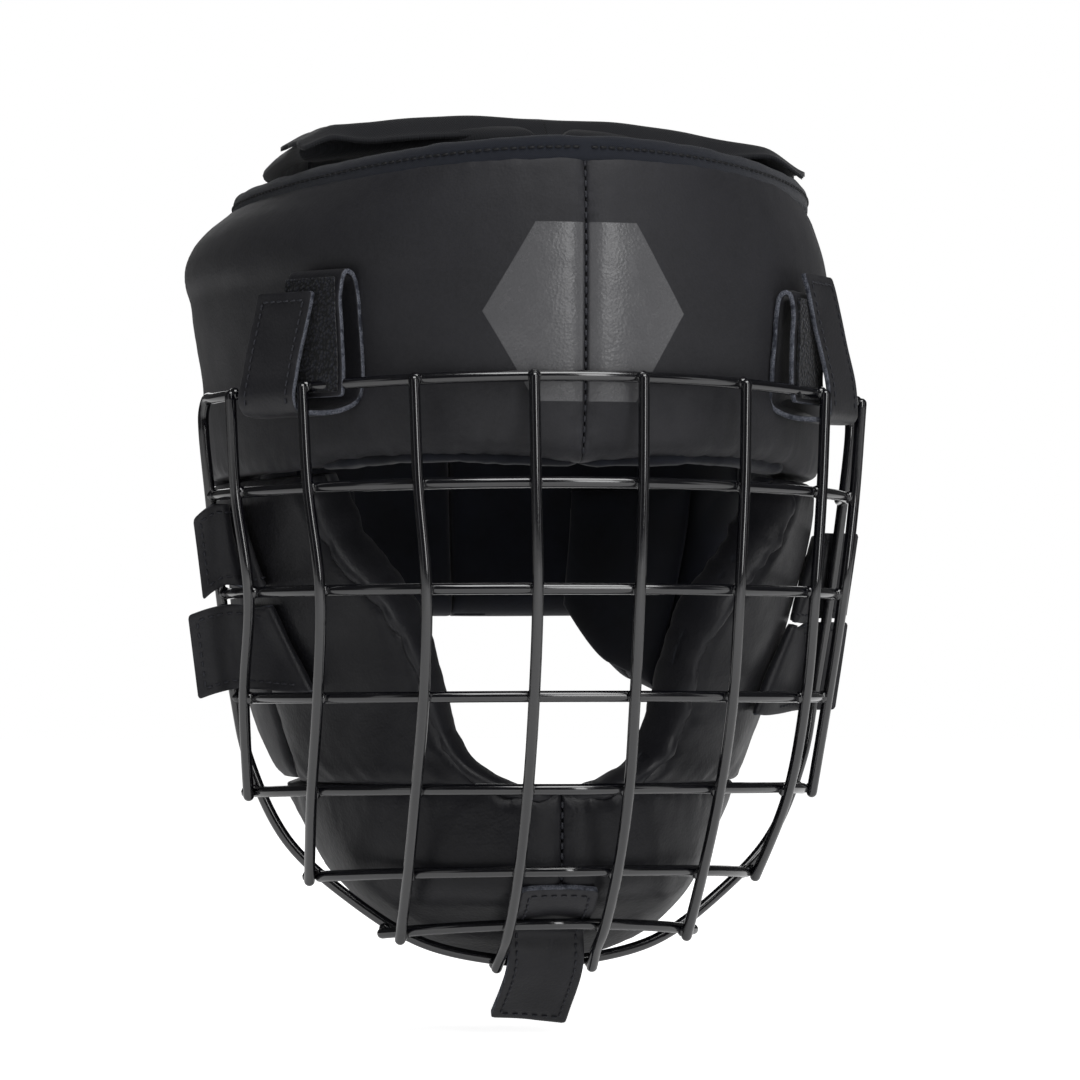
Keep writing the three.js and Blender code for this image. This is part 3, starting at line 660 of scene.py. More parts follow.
def build_side_band(side, word):
    theta, z = grid_between(FOREHEAD_END, EAR_END, level(BAND_BOTTOM_Z + 0.2), top_edge)
    edges = {"left": Edge(0, 0.3), "right": Edge(0, 0.3), "low": Edge(0, 0.4),
             "high": Edge(0, 0.25, 2.0)}
    piece = padded_solid(f"side_cover_{word}", theta, z, side, edges, crown=1.6, seed=7 + side)
    settle(piece, "guard", [f"side_band_{word}"])


def build_cheek(side, word):
    v = graded(112, 0.5, 1.9)
    u = graded(78, 0.5, 1.9)
    u, v = np.meshgrid(u, v)
    z = lerp(CHIN_TOP_Z, BAND_BOTTOM_Z, v)
    theta = lerp(opening_edge(z, side), EAR_START, u)
    edges = {"left": Edge(1, lambda t, z: 0.4 + 0.7 * smooth_step(-z, 40, 70)), "right": Edge(0, 0.4),
             "low": Edge(0, 0.9, 1.6), "high": Edge(0, 0.4)}
    piece = padded_solid(f"cheek_{word}", theta, z, side, edges, crown=1.6, seed=12 + side, lumps=0.9,
                         finishes=(SHINY_PAINTED_SHADE_FINISH, LINING_FINISH))
    settle(piece, "guard", [f"cheek_pad_{word}"])


def build_chin(side, word):
    theta, z = grid_between(HALF_SEAM, CHIN_END, chin_bottom, level(CHIN_TOP_Z - SEAM))
    edges = {
        "left": Edge(0, 0.2, 1.8), "low": Edge(1, 0.6),
        "right": Edge(lambda t, z: smooth_step(CHIN_TOP_Z - z, 3, 18), 0.3),
        "high": Edge(lambda t, z: 1 - smooth_step(t, 12, 18), 0.9, 1.6),
    }
    piece = padded_solid(f"chin_cup_{word}", theta, z, side, edges, crown=1.4, seed=17 + side,
                         lumps=0.8, finishes=(SHINY_PAINTED_SHADE_FINISH, LINING_FINISH))
    settle(piece, "guard", [f"chin_pad_{word}"])


def build_rear_panel(side, word):
    theta, z = grid_between(EAR_END + 2 * HALF_SEAM, 180 - HALF_SEAM, nape_bottom, top_edge)
    edges = {"left": Edge(0, 0.3), "right": Edge(0.35, 0.3), "low": Edge(1, 0.6),
             "high": Edge(0, 0.25, 2.0)}
    piece = padded_solid(f"rear_cover_{word}", theta, z, side, edges, crown=1.4, seed=23 + side)
    settle(piece, f"rear_{word}", [f"rear_panel_{word}"])


def build_ear_pad(side, word):
    """A ring of padding round the ear hole, with its inner edge rolled round."""
    per_side = 26
    corner_share = np.linspace(0, 1, per_side, endpoint=False)
    zero, one = np.zeros(per_side), np.ones(per_side)
    across = np.concatenate((corner_share, one, 1 - corner_share, zero))
    upward = np.concatenate((zero, corner_share, one, 1 - corner_share))
    outer_theta = lerp(EAR_START, EAR_END, across)
    outer_z = lerp(ear_bottom(outer_theta), BAND_BOTTOM_Z, upward)
    turn = np.arctan2((outer_z - EAR_HOLE["z"]) / EAR_HOLE["half_z"],
                      (outer_theta - EAR_HOLE["theta"]) / EAR_HOLE["half_theta"])
    hole_theta = EAR_HOLE["theta"] + EAR_HOLE["half_theta"] * np.cos(turn)
    hole_z = EAR_HOLE["z"] + EAR_HOLE["half_z"] * np.sin(turn)
    share = graded(38, 0.5, 1.9)[None, :]
    theta = lerp(hole_theta[:, None], outer_theta[:, None], share)
    z = lerp(hole_z[:, None], outer_z[:, None], share)
    low_side = (smooth_step(upward, 0.12, 0.0) * smooth_step(outer_theta, 89, 97))[:, None]
    low_side = low_side * np.ones_like(share)
    edges = {"left": Edge(1, 0.25), "right": Edge(lambda t, zz: low_side, 0.35)}
    piece = padded_solid(f"ear_cover_{word}", theta, z, side, edges, ring=True, crown=1.5,
                         seed=29 + side)
    settle(piece, "guard", [f"ear_pad_{word}"])


def build_linings(side, word):
    depth = PAD + 1.5
    theta, z = grid_between(2 * HALF_SEAM, FOREHEAD_LINING_END, lambda t: brow_edge(t) + 2,
                            lambda t: top_edge(t) - 6, step=3.0)
    soft = {key: Edge(1, 0.2) for key in ("left", "right", "low", "high")}
    piece = padded_solid(f"brow_lining_{word}", theta, z, side, soft, crown=0.3, thickness=LINING,
                         depth=depth, finishes=(LINING_FINISH, LINING_FINISH), seed=31)
    settle(piece, "guard", [f"forehead_lining_{word}"])
    theta, z = grid_between(EAR_HOLE["theta"] + EAR_HOLE["half_theta"] + 3, NAPE_LINING_END,
                            lambda t: np.where(t < EAR_END, ear_bottom(t), nape_bottom(t)) + 1,
                            level(BAND_BOTTOM_Z), step=3.0)
    piece = padded_solid(f"nape_cushion_{word}", theta, z, side, soft, crown=0.3, thickness=LINING,
                         depth=depth, finishes=(LINING_FINISH, LINING_FINISH), seed=37)
    settle(piece, "guard", [f"nape_lining_{word}"])


# ---------- rolls, bindings and tubes ----------
def sweep(centres, sections, closed=False):
    """Points and faces of a body through sections that stand round the centres."""
    points = centres[:, None, :] + sections
    rings, sides = points.shape[:2]
    faces = grid_faces(rings, sides, close_rows=closed, close_columns=True)
    flat = points.reshape(-1, 3)
    if not closed:
        faces += [list(range(sides))[::-1], [(rings - 1) * sides + k for k in range(sides)]]
    return flat, faces


def roll_along(name, theta, z, toward, half_width, half_depth, depth, side, finish, seed=5,
               lumps=0.1, inset=1.6):
    """A soft roll that covers a pad's edge. toward is +1 or -1, the side that the opening lies on."""
    path = np.stack((theta, z, np.zeros_like(z)), -1)
    fine = spline(path, 2.0)
    theta, z = fine[:, 0], fine[:, 1]
    centre = guard(theta, z, depth, side)
    normal = guard_normal(theta, z, side)
    tangent = unit(np.gradient(centre, axis=0))
    outward = unit(np.cross(tangent, normal)) * toward
    turn = np.linspace(0, 2 * math.pi, 24, endpoint=False)
    swell = 1 + lumps * rough(np.repeat(centre[:, None], 24, 1), 5.5, seed)[..., None]
    taper = np.sqrt(np.clip(np.minimum(np.arange(len(z)), np.arange(len(z))[::-1]) / 3 + 0.15, 0, 1))
    shape = (outward[:, None] * (np.sign(np.cos(turn)) * np.abs(np.cos(turn)) ** 0.8)[None, :, None]
             * half_width + normal[:, None] * np.sin(turn)[None, :, None] * half_depth)
    sections = shape * swell * taper[:, None, None]
    points, faces = sweep(centre - outward * inset, sections)
    across = np.tile(turn / (2 * math.pi) * 30, len(z))
    along = np.repeat(lengths_along(centre), 24)
    return add_mesh(name, mirror(points, side), faces, (finish,),
                    values={"along": along, "across": across, "rim": np.zeros(len(points))})


def build_opening_trim(side, word):
    """The lining's rolled edge round the face opening."""
    z = np.linspace(21, CHIN_TOP_Z + 8, 12)
    theta = opening_edge(z, side)
    z = np.concatenate((z, (CHIN_TOP_Z + 1.5, CHIN_TOP_Z - 0.6, CHIN_TOP_Z - 0.8)))
    theta = np.concatenate((theta, (13.5, 7.0, HALF_SEAM)))
    piece = roll_along(f"opening_trim_{word}", theta, z, 1, 3.4, 10.2, 10.4, side, STRAP_FINISH,
                       seed=41 + side, lumps=0.12, inset=3.2)
    settle(piece, "guard")


def build_brow_trim(side, word):
    theta = np.linspace(HALF_SEAM, 54, 16)
    piece = roll_along(f"brow_trim_{word}", theta, brow_edge(theta) - 0.4, 1, 2.8, 8.8, 12.6, side,
                       LINING_FINISH, seed=47 + side, lumps=0.16, inset=0.8)
    settle(piece, "guard")


def edge_tape(name, low_theta, high_theta, side, seed):
    """Textile tape folded over the guard's top edge, with its front flap on the leather."""
    outline = np.array((
        (0.2, -3.2), (-1.1, -2.6), (-1.2, 0.2), (-0.9, 2.6), (0.4, 4.0), (3.2, 4.6), (7, 4.5),
        (9.8, 3.4), (10.6, 0.8), (10.4, -2.6), (9.4, -2.8), (8.8, 0.9), (5, 1.3), (1.6, 1.0),
    ))
    outline[:, 1] *= np.where(outline[:, 1] < 0, 1.45, 1.05)
    ring = spline(np.column_stack((outline, np.zeros(len(outline)))), 0.7, closed=True)[:, :2]
    theta = np.linspace(low_theta, high_theta, math.ceil((high_theta - low_theta) * 0.9) + 2)
    z = top_edge(np.abs(theta))
    points = []
    for depth, lift in ring:
        where = np.stack((theta * 0.25, np.full(len(theta), lift * 0.1), z * 0), -1)
        p = guard_line(theta, z, depth, side)
        p[:, 2] = z + lift + 0.35 * rough(where, 1.0, seed)
        points.append(p)
    grid = np.stack(points, 1)
    rings, sides = grid.shape[:2]
    faces = grid_faces(rings, sides, close_columns=True)
    faces += [list(range(sides))[::-1], [(rings - 1) * sides + k for k in range(sides)]]
    flat = mirror(grid.reshape(-1, 3), side)
    along = np.repeat(lengths_along(grid[:, 0]), sides)
    across = np.tile(np.arange(sides) * 0.7, rings)
    surfaces[name] = BVHTree.FromPolygons([Vector(p) for p in flat], faces)
    return add_mesh(name, flat, faces, (BINDING_FINISH,), values={"along": along, "across": across})


def build_bindings():
    piece = edge_tape("top_tape", -(EAR_END - 1), EAR_END - 1, 1, 51)
    settle(piece, "guard", ["top_binding_right", "top_binding_left"])
    for side, word in SIDES:
        piece = edge_tape(f"rear_tape_{word}", EAR_END + 2, 180 - 2 * HALF_SEAM, side, 53)
        settle(piece, f"rear_{word}", [f"rear_binding_{word}"])


def tube(name, path, radius, finish, closed=False, sides=16):
    """A round rod along a path, with round ends."""
    centres = path
    if not closed:
        ends = []
        for tip, inner in ((path[0], path[1]), (path[-1], path[-2])):
            ends.append(unit(tip - inner))
        cap = np.sin(np.linspace(math.pi / 2, 0.12, 5))
        reach = np.cos(np.linspace(math.pi / 2, 0.12, 5))
        centres = np.vstack((path[0] + ends[0] * reach[::-1, None] * radius, path[1:-1],
                             path[-1] + ends[1] * reach[:, None] * radius))
        scale = np.concatenate((cap[::-1], np.ones(len(path) - 2), cap))
    else:
        scale = np.ones(len(path))
    if closed:
        tangent = unit(np.roll(centres, -1, 0) - np.roll(centres, 1, 0))
    else:
        tangent = unit(np.gradient(centres, axis=0))
    first = np.cross(tangent[0], (0.3, 0.2, 0.93))
    normals = [unit(first)]
    for k in range(1, len(centres)):
        n = normals[-1] - tangent[k] * np.dot(normals[-1], tangent[k])
        normals.append(unit(n))
    normals = np.array(normals)
    if closed:
        # the leftover turn is spread over the whole loop
        end = normals[-1] - tangent[0] * np.dot(normals[-1], tangent[0])
        angle = math.atan2(np.dot(np.cross(end, normals[0]), tangent[0]), np.dot(end, normals[0]))
        spread = np.linspace(0, angle, len(centres))[:, None]
        normals = normals * np.cos(spread) + np.cross(tangent, normals) * np.sin(spread)
    other = np.cross(tangent, normals)
    turn = np.linspace(0, 2 * math.pi, sides, endpoint=False)
    sections = (normals[:, None] * np.cos(turn)[None, :, None]
                + other[:, None] * np.sin(turn)[None, :, None]) * radius * scale[:, None, None]
    points, faces = sweep(centres, sections, closed)
    return add_mesh(name, points, faces, (finish,), weld=0.001)


def half_row(row, count):
    turns = np.linspace(0, 1, count + 1) * 0.985 * math.pi / 2
    xs = CAGE_ROWS[row][4] * np.sin(turns)
    return np.array([cage_surface(row, x) - cage_normal(row, x) * WIRE_STEP for x in xs])


def crossing(k, row):
    x = min(UPRIGHT_X[k] * CAGE_ROWS[row][7], CAGE_ROWS[row][4] - 0.8)
    return cage_surface(row, x) + cage_normal(row, x) * WIRE_STEP


def perimeter_path():
    bar = half_row(0, 12)
    z, drop, _, rear, half = CAGE_ROWS[0][:5]
    right = [*bar, (half - 1, -rear, z - drop - 4.5), (120.6, -47.3, 40), UPRIGHT_TOP,
             (113.6, -44, -20), *HOOP]
    left = [mirror(p, -1) for p in right[-2:0:-1]]
    return spline(np.array([*right, *left], float), 1.6, closed=True)


def nearest(points, p):
    return float(np.min(np.linalg.norm(points - p, axis=1)))


def build_cage():
    loop = perimeter_path()
    piece = tube("perimeter_rod", loop, WIRE_RADIUS, WIRE_FINISH, closed=True)
    settle(piece, "guard", ["perimeter_wire"])
    touch = 2 * WIRE_RADIUS - 0.9
    beads = []
    rows = {}
    for row in range(1, len(CAGE_ROWS)):
        half = half_row(row, 60)
        distances = np.array([nearest(loop, p) for p in half])
        hits = np.flatnonzero((distances < touch) & (np.arange(len(half)) > 6))
        last = hits[0] if len(hits) else int(np.argmin(distances))
        kept = half[:last + 1]
        rows[row] = kept
        path = spline(np.vstack((mirror(kept[:0:-1], -1), kept))[::2], 1.6)
        piece = tube(f"cross_rod_{row}", path, WIRE_RADIUS, WIRE_FINISH)
        settle(piece, "guard", [f"cross_wire_{row}"])
        end = kept[-1]
        closest = loop[np.argmin(np.linalg.norm(loop - end, axis=1))]
        beads += [(mirror((end + closest) / 2, s), mirror(unit(end - closest), s)) for s in (-1, 1)]
    for side, word in SIDES:
        for k in range(len(UPRIGHT_X)):
            path, welds = upright_path(k, loop, touch)
            piece = tube(f"upright_rod_{word}_{k + 1}", mirror(path, side), WIRE_RADIUS, WIRE_FINISH)
            settle(piece, "guard", [f"upright_wire_{word}_{k + 1}"])
            beads += [(mirror(at, side), mirror(out, side)) for at, out in welds]
    settle(weld_beads("cage_welds", beads), "guard")


def upright_path(k, loop, touch):
    """An upright's line, and where it is welded: the place and the direction across the weld."""
    points = [crossing(k, row) for row in range(UPRIGHT_LAST_ROW[k] + 1)]
    welds = [(p - cage_normal(row, p[0]) * WIRE_STEP, cage_normal(row, p[0]))
             for row, p in enumerate(points)]
    points[0] = points[0] - (0, 0, WIRE_RADIUS * 0.3)
    innermost = k == 0
    if innermost:
        points += [np.array((17, -78, -146)), np.array((17.5, -68.9, -152.9))]
        welds.append((np.array((17.6, -67.2, -151.5)), unit(np.array((0, -0.7, -0.7)))))
    else:
        points.append(points[-1] + unit(points[-1] - points[-2]))
    path = spline(points, 1.6)
    if not innermost:
        distances = np.array([nearest(loop, p) for p in path])
        hits = np.flatnonzero((distances < touch) & (np.arange(len(path)) > len(path) // 2))
        if len(hits):
            path = path[:hits[0]]
            end, on_loop = path[-1], loop[np.argmin(np.linalg.norm(loop - path[-1], axis=1))]
            welds.append(((end + on_loop) / 2, unit(end - on_loop)))
    return path, welds


BEAD_WIDE, BEAD_TALL = 2.45, 2.1


def weld_beads(name, beads):
    """Small swellings of coating where two wires are welded."""
    points, faces = [], []
    rings, sides = 7, 12
    polar = np.linspace(0.0, math.pi, rings)
    turn = np.linspace(0, 2 * math.pi, sides, endpoint=False)
    for at, out in beads:
        side = unit(np.cross(out, (0.05, 0.08, 1.0)))
        other = np.cross(out, side)
        shape = (np.cos(polar)[:, None, None] * BEAD_TALL * out
                 + np.sin(polar)[:, None, None] * BEAD_WIDE
                 * (np.cos(turn)[None, :, None] * side + np.sin(turn)[None, :, None] * other))
        start = len(points)
        points += (at + shape).reshape(-1, 3).tolist()
        faces += grid_faces(rings, sides, start, close_columns=True)
    return add_mesh(name, points, faces, (WIRE_FINISH,), weld=0.005)


# ---------- straps ----------
class Strap:
    """A flat strap ruled between a low and a high edge line that have the same points."""

    def __init__(self, low, high, thickness, step=1.3, curl=0.0, seed=1, flutter=0.3):
        low, high = np.asarray(low, float), np.asarray(high, float)
        both = spline(np.hstack(((low + high) / 2, (high - low) / 2)), step)
        self.middle, self.half = both[:, :3], both[:, 3:]
        self.thickness = thickness
        self.along = lengths_along(self.middle)
        tangent = unit(np.gradient(self.middle, axis=0))
        self.normal = unit(np.cross(tangent, self.half))
        self.curl, self.seed, self.flutter = curl, seed, flutter

    @property
    def length(self):
        return self.along[-1]

    def at(self, s, w, lift=0.0):
        """The points at distance s along and share w, from -1 to 1, across, lifted off the middle."""
        s, w, lift = np.broadcast_arrays(*(np.asarray(a, float) for a in (s, w, lift)))
        pick = [np.stack([np.interp(s, self.along, v[:, k]) for k in range(3)], -1)
                for v in (self.middle, self.half, self.normal)]
        middle, half, normal = pick[0], pick[1], unit(pick[2])
        p = middle + half * w[..., None]
        wave = self.curl * (w ** 2 - 0.3) + self.flutter * rough(p, 14, self.seed)
        return p + normal * (lift + wave)[..., None]

    def half_width(self):
        return float(np.mean(np.linalg.norm(self.half, axis=1)))

    def build(self, name, finishes=(STRAP_FINISH, BACKING_FINISH, CUT_FINISH), corner=1.4,
              groove=3.2):
        """The strap's body: front, back, and pale cut edges."""
        half = self.half_width()
        s = graded(self.length, 0.35, 1.3) * self.length
        w = graded(2 * half, 0.35, 1.5) * 2 - 1
        tip = np.minimum(s, self.length - s)
        short = np.clip(corner - tip, 0, corner)
        narrow = 1 - (corner - np.sqrt(np.maximum(corner ** 2 - short ** 2, 0))) / half
        ww = w[None, :] * narrow[:, None]
        ss = np.repeat(s[:, None], len(w), 1)
        edge = (1 - np.abs(w))[None, :] * half
        end = tip[:, None]
        near = np.minimum(edge, end)
        channel = 0.22 * np.exp(-((near - groove) / 0.7) ** 2)
        thick = self.thickness / 2 * (1 - 0.22 * np.exp(-near / 0.9)) - channel
        front, back = self.at(ss, ww, thick), self.at(ss, ww, -thick)
        points, faces, backs, walls = shell(front, back)
        kinds = [0] * len(faces) + [1] * len(backs) + [2] * len(walls)
        values = {"rim": twice(np.exp(-near / 1.2)), "along": twice(ss), "across": twice(ww * half)}
        return add_mesh(name, points, faces + backs + walls, finishes, kinds, values, weld=0.0)

    def border(self, start, stop, inset=3.2, face=1, ends=(True, True)):
        """Stitch frames along the border, on one face."""
        half = self.half_width()
        edge = 1 - inset / half
        lift = face * (self.thickness / 2 + 0.05)
        s0, s1 = start + (inset if ends[0] else 0), stop - (inset if ends[1] else 0)
        lines = []
        s = np.linspace(s0, s1, max(3, int(abs(s1 - s0))))
        for sign in (-1, 1):
            lines.append(self.at(s, np.full(len(s), sign * edge), lift))
        for at, wanted in zip((s0, s1), ends):
            if wanted:
                lines.append(self.at(np.full(24, at), np.linspace(-edge, edge, 24), lift))
        frames = []
        for line in lines:
            frames += stitch_frames(line, self.face_normals(line) * face)
        return frames

    def face_normals(self, line):
        picked = [np.argmin(np.linalg.norm(self.middle - p, axis=1)) for p in line]
        return self.normal[picked]


def stitch_frames(line, normals, pitch=3.1):
    """The place, direction and outward side of every stitch along a line."""
    run = lengths_along(line)
    count = max(1, int(run[-1] / pitch))
    found = []
    for k in range(count):
        s = (k + 0.5) * run[-1] / count
        at, ahead, behind = (np.array([np.interp(np.clip(s + d, 0, run[-1]), run, line[:, c])
                                       for c in range(3)]) for d in (0.0, 0.6, -0.6))
        normal = np.array([np.interp(s, run, normals[:, c]) for c in range(3)])
        found.append((at, unit(ahead - behind), unit(normal)))
    return found


def stitches(name, frames, length=2.3, radius=0.42, finish=None):
    """One mesh of short threads, each sinking into the leather at both ends."""
    shares = np.array((-1.0, -0.8, -0.35, 0.35, 0.8, 1.0))
    widths = np.array((0.25, 0.8, 1.0, 1.0, 0.8, 0.25))
    lifts = np.array((-0.45, 0.0, 0.12, 0.12, 0.0, -0.45))
    turn = np.linspace(0, 2 * math.pi, 6, endpoint=False)
    points, faces = [], []
    for at, along, normal in frames:
        side = unit(np.cross(along, normal))
        rings = (at + along * (shares * length / 2)[:, None] + normal * lifts[:, None])[:, None] + (
            side * np.cos(turn)[None, :, None] + normal * 0.8 * np.sin(turn)[None, :, None]
        ) * (radius * widths)[:, None, None]
        start = len(points)
        points += rings.reshape(-1, 3).tolist()
        faces += grid_faces(6, 6, start, close_columns=True)
        faces += [[start + k for k in range(6)][::-1], [start + 30 + k for k in range(6)]]
    return add_mesh(name, points, faces, (finish or THREAD_FINISH,), weld=0.0)


def surface_stitches(surface, line, lift=0.1):
    """Stitch frames along a line, laid onto a pad's or a binding's outer surface."""
    found = [surfaces[surface].find_nearest(Vector(p)) for p in line]
    places = np.array([tuple(f[0]) for f in found])
    normals = np.array([tuple(f[1]) for f in found])
    centre_out = places * (1, 1, 0)
    flip = np.sign(np.sum(normals * centre_out, axis=1, keepdims=True))
    normals = normals * np.where(flip == 0, 1, flip)
    return stitch_frames(places + normals * lift, normals)


def crossing_strap(name, strap, tab_body, start, end, nodes, frames, parent="guard", **build):
    """A strap with its stitches, in place of the frame's parts that they stand for."""
    piece = strap.build(name, **build)
    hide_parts(*nodes)
    threads = stitches(f"{name}_stitches", frames)
    for part in (piece, threads):
        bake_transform(part)
    return piece


def temple_frame():
    x = (crossing(3, 0)[0] + crossing(2, 0)[0]) / 2
    out = cage_normal(0, x)
    return cage_surface(0, x) - out * 2.55, out, np.array((-out[1], out[0], 0.0))


def leather_behind(place, out, side):
    """How far the guard's surface lies along the outward direction from a place over the bar."""
    reach = np.linspace(-30, 0, 600)
    points = place + out * reach[:, None]
    half, front, back, shift = outline_sizes(np.full(600, place[2]), side)
    forward = np.where(points[:, 1] < -shift, front - shift, back + shift)
    inside = (points[:, 0] / half) ** 2 + ((points[:, 1] + shift) / forward) ** 2 < 1
    return reach[np.flatnonzero(inside)[-1]]


# Side, word, where the sewn part folds back, how far its front layer stands out, and the free
# tab's height and its way out and towards the middle at its foot, knee and tip.
TEMPLES = (
    (-1, "right", 92.0, 11.6, 85.5, (5.2, -3.0), (5.0, -4.4), (4.6, -11.6)),
    (1, "left", 87.5, 9.0, 95.0, (3.2, -2.4), (3.0, -3.4), (-1.6, -15.5)),
)
TEMPLE_BASE_SHIFT = -19.0    # the sewn part lies this far nearer the middle than the bar's place


def build_temple_straps():
    """One strap a side: front layer, hairpin, sewn layer, round the top bar and up as the tab."""
    bar, out, wide = temple_frame()
    bottom = bar[2] - WIRE_RADIUS - 1 - LEATHER

    def place(n, z, shift):
        return bar * (1, 1, 0) + out * n + wide * shift + (0, 0, z)

    for side, word, fold, lift, tip_z, foot, knee_place, tip_place in TEMPLES:
        knee = np.array((knee_place[0], 57, knee_place[1]))
        tip = np.array((tip_place[0], tip_z, tip_place[1]))

        def on_skin(n, z):
            at = place(0, z, TEMPLE_BASE_SHIFT)
            return at + out * (leather_behind(at, out, side) + n)

        line = np.array([
            on_skin(lift + 1.0, 49), on_skin(lift + 0.4, 57), on_skin(lift, 68),
            on_skin(lift - 0.2, fold - 16), on_skin(lift - 0.6, fold - 7),
            on_skin(lift * 0.66, fold + 0.4), on_skin(lift * 0.36, fold - 0.4),
            on_skin(2.0, fold - 7), on_skin(1.8, fold - 18), on_skin(1.8, 64), on_skin(2.0, 56),
            place(-13.6, 48.4, -16.5), place(-9.6, 44.8, -13.0), place(-3.0, 43.4, -7.0),
            place(2.6, 44.4, foot[1]), place(foot[0], 48.6, foot[1]), place(*knee),
            place(*(knee * 0.6 + tip * 0.4)),
            place((knee[0] + 4 * tip[0]) / 5, tip_z - 6, (knee[2] + 4 * tip[2]) / 5),
            place(*tip),
        ])
        low, high = mirror(line - wide * STRAP_HALF, side), mirror(line + wide * STRAP_HALF, side)
        strap = Strap(low, high, 2.2, step=1.1, seed=61 + side, flutter=0.25)
        face = 1 if np.dot(strap.normal[-8], mirror(out, side)) > 0 else -1
        frames = strap.border(strap.length - (tip_z - bottom) - 1, strap.length, face=face,
                              ends=(False, True))
        crossing_strap(f"temple_strap_{word}", strap, f"temple_tab_{word}_body",
                       mirror(place(-1.5, bottom, 0), side), mirror(place(3.5, bottom, 0), side),
                       [f"temple_strap_base_{word}", f"temple_tab_{word}"], frames,
                       finishes=(STRAP_FINISH, STRAP_FINISH, CUT_FINISH))
        patch = np.array([on_skin(lift + 0.9, fold - 1.5), on_skin(lift + 1.6, fold - 16),
                          on_skin(lift + 1.9, 66), on_skin(lift + 2.3, 57),
                          on_skin(lift + 2.8, 50.5)])
        half = STRAP_HALF - 1.4
        tape = Strap(mirror(patch - wide * half, side), mirror(patch + wide * half, side),
                     1.2, seed=67 + side, flutter=0.2)
        piece = tape.build(f"temple_tape_{word}", (LOOP_FINISH,) * 3, corner=0.6, groove=1.6)
        settle(piece, "guard", [f"temple_loop_tape_{word}"])


# Name, side, low and high edge, how it passes the upright, reach, lead and droop of the end.
SIDE_STRAPS = (
    ("upper_right", -1, -15.6, 13.4, -1, 7, 0, 5.5),
    ("lower_right", -1, -52.6, -22.6, -1, 13.5, 3, 4),
    ("upper_left", 1, -27, 4.5, 1, 9, 0, 0),
    ("lower_left", 1, -61, -28.5, 1, 10, 2, 0),
)


def upright_place(z):
    share = (UPRIGHT_TOP[2] - z) / (UPRIGHT_TOP[2] - UPRIGHT_BOTTOM[2])
    return lerp(UPRIGHT_TOP, UPRIGHT_BOTTOM, share)


def side_strap_line(side, passing, reach, ahead, droop, z):
    """A side strap's middle line at one height: along the pad, round the fold, past the upright."""
    post = upright_place(z)
    fold = 73 - 0.238 * (14 - z)
    miss = WIRE_RADIUS + LEATHER / 2 + 0.9
    return [
        *(guard(fold + turn, z, -lift, side)
          for turn, lift in ((11, 3.2), (6, 3.3), (1, 3.0), (-2, 5.2), (1, 7.2))),
        post + (-4, passing * miss - ahead * 0.5, 0), post + (-0.4, passing * miss, 0),
        post + (reach * 0.5, passing * (miss + 0.4), -droop * 0.4),
        post + (reach, passing * (miss - 0.6), -droop),
    ]


def build_side_straps():
    for k, (name, side, low, high, passing, reach, ahead, droop) in enumerate(SIDE_STRAPS):
        lines = [mirror(side_strap_line(side, passing, reach, ahead, droop, z), side)
                 for z in (low, high)]
        strap = Strap(lines[0], lines[1], LEATHER, step=1.1, curl=-0.5, seed=71 + 5 * k, flutter=0.35)
        post = mirror(upright_place((low + high) / 2), side)
        pin = np.argmin(np.linalg.norm(strap.middle - post, axis=1))
        direction = unit(strap.middle[min(pin + 4, len(strap.middle) - 1)] - strap.middle[pin - 4])
        start = strap.along[pin] - 20
        frames = []
        for face in (1, -1):
            frames += strap.border(start, strap.length, face=face, ends=(False, True))
        crossing_strap(f"side_strap_{name}", strap, f"side_tab_{name}_body", post - direction * 3,
                       post + direction * 3, [f"side_strap_base_{name}", f"side_tab_{name}"], frames,
                       finishes=(STRAP_FINISH, STRAP_FINISH, CUT_FINISH))


def build_chin_strap():
    """The strap sewn under the chin pad, out over the hoop and down as a free tab."""
    def skin(z, lift):
        return guard(0.0, z, -lift, 1) + (CHIN_X, 0, 0)

    line = [skin(-122, 1.7), skin(-127, 1.9), skin(-132, 1.9), skin(-138, 1.8),
            (CHIN_X, -75.2, -149.2), (CHIN_X - 0.3, -72.6, -154.4), (CHIN_X - 1, -67.4, -160.4),
            (CHIN_X - 1.8, -61, -166.6), (CHIN_X - 2.4, -55.6, -171.6)]
    wide = np.array((1.0, 0.0, 0.0))
    points = np.array(line)
    slant = np.zeros_like(points)
    slant[-3:, 2] = 0.3, 0.8, 1.4
    strap = Strap(points - wide * CHIN_HALF + slant, points + wide * CHIN_HALF - slant, 3.0, step=1.1,
                  curl=0.7, seed=83, flutter=0.4)
    outside = 1 if np.dot(strap.normal[2], (0, -1, 0)) > 0 else -1
    frames = strap.border(0, strap.length, face=outside, inset=3.0)
    crossing_strap("chin_strap", strap, "chin_tab_body", (0, -76.5, -148.0), (0, -73.0, -153.6),
                   ["chin_strap_base", "chin_tab"], frames)


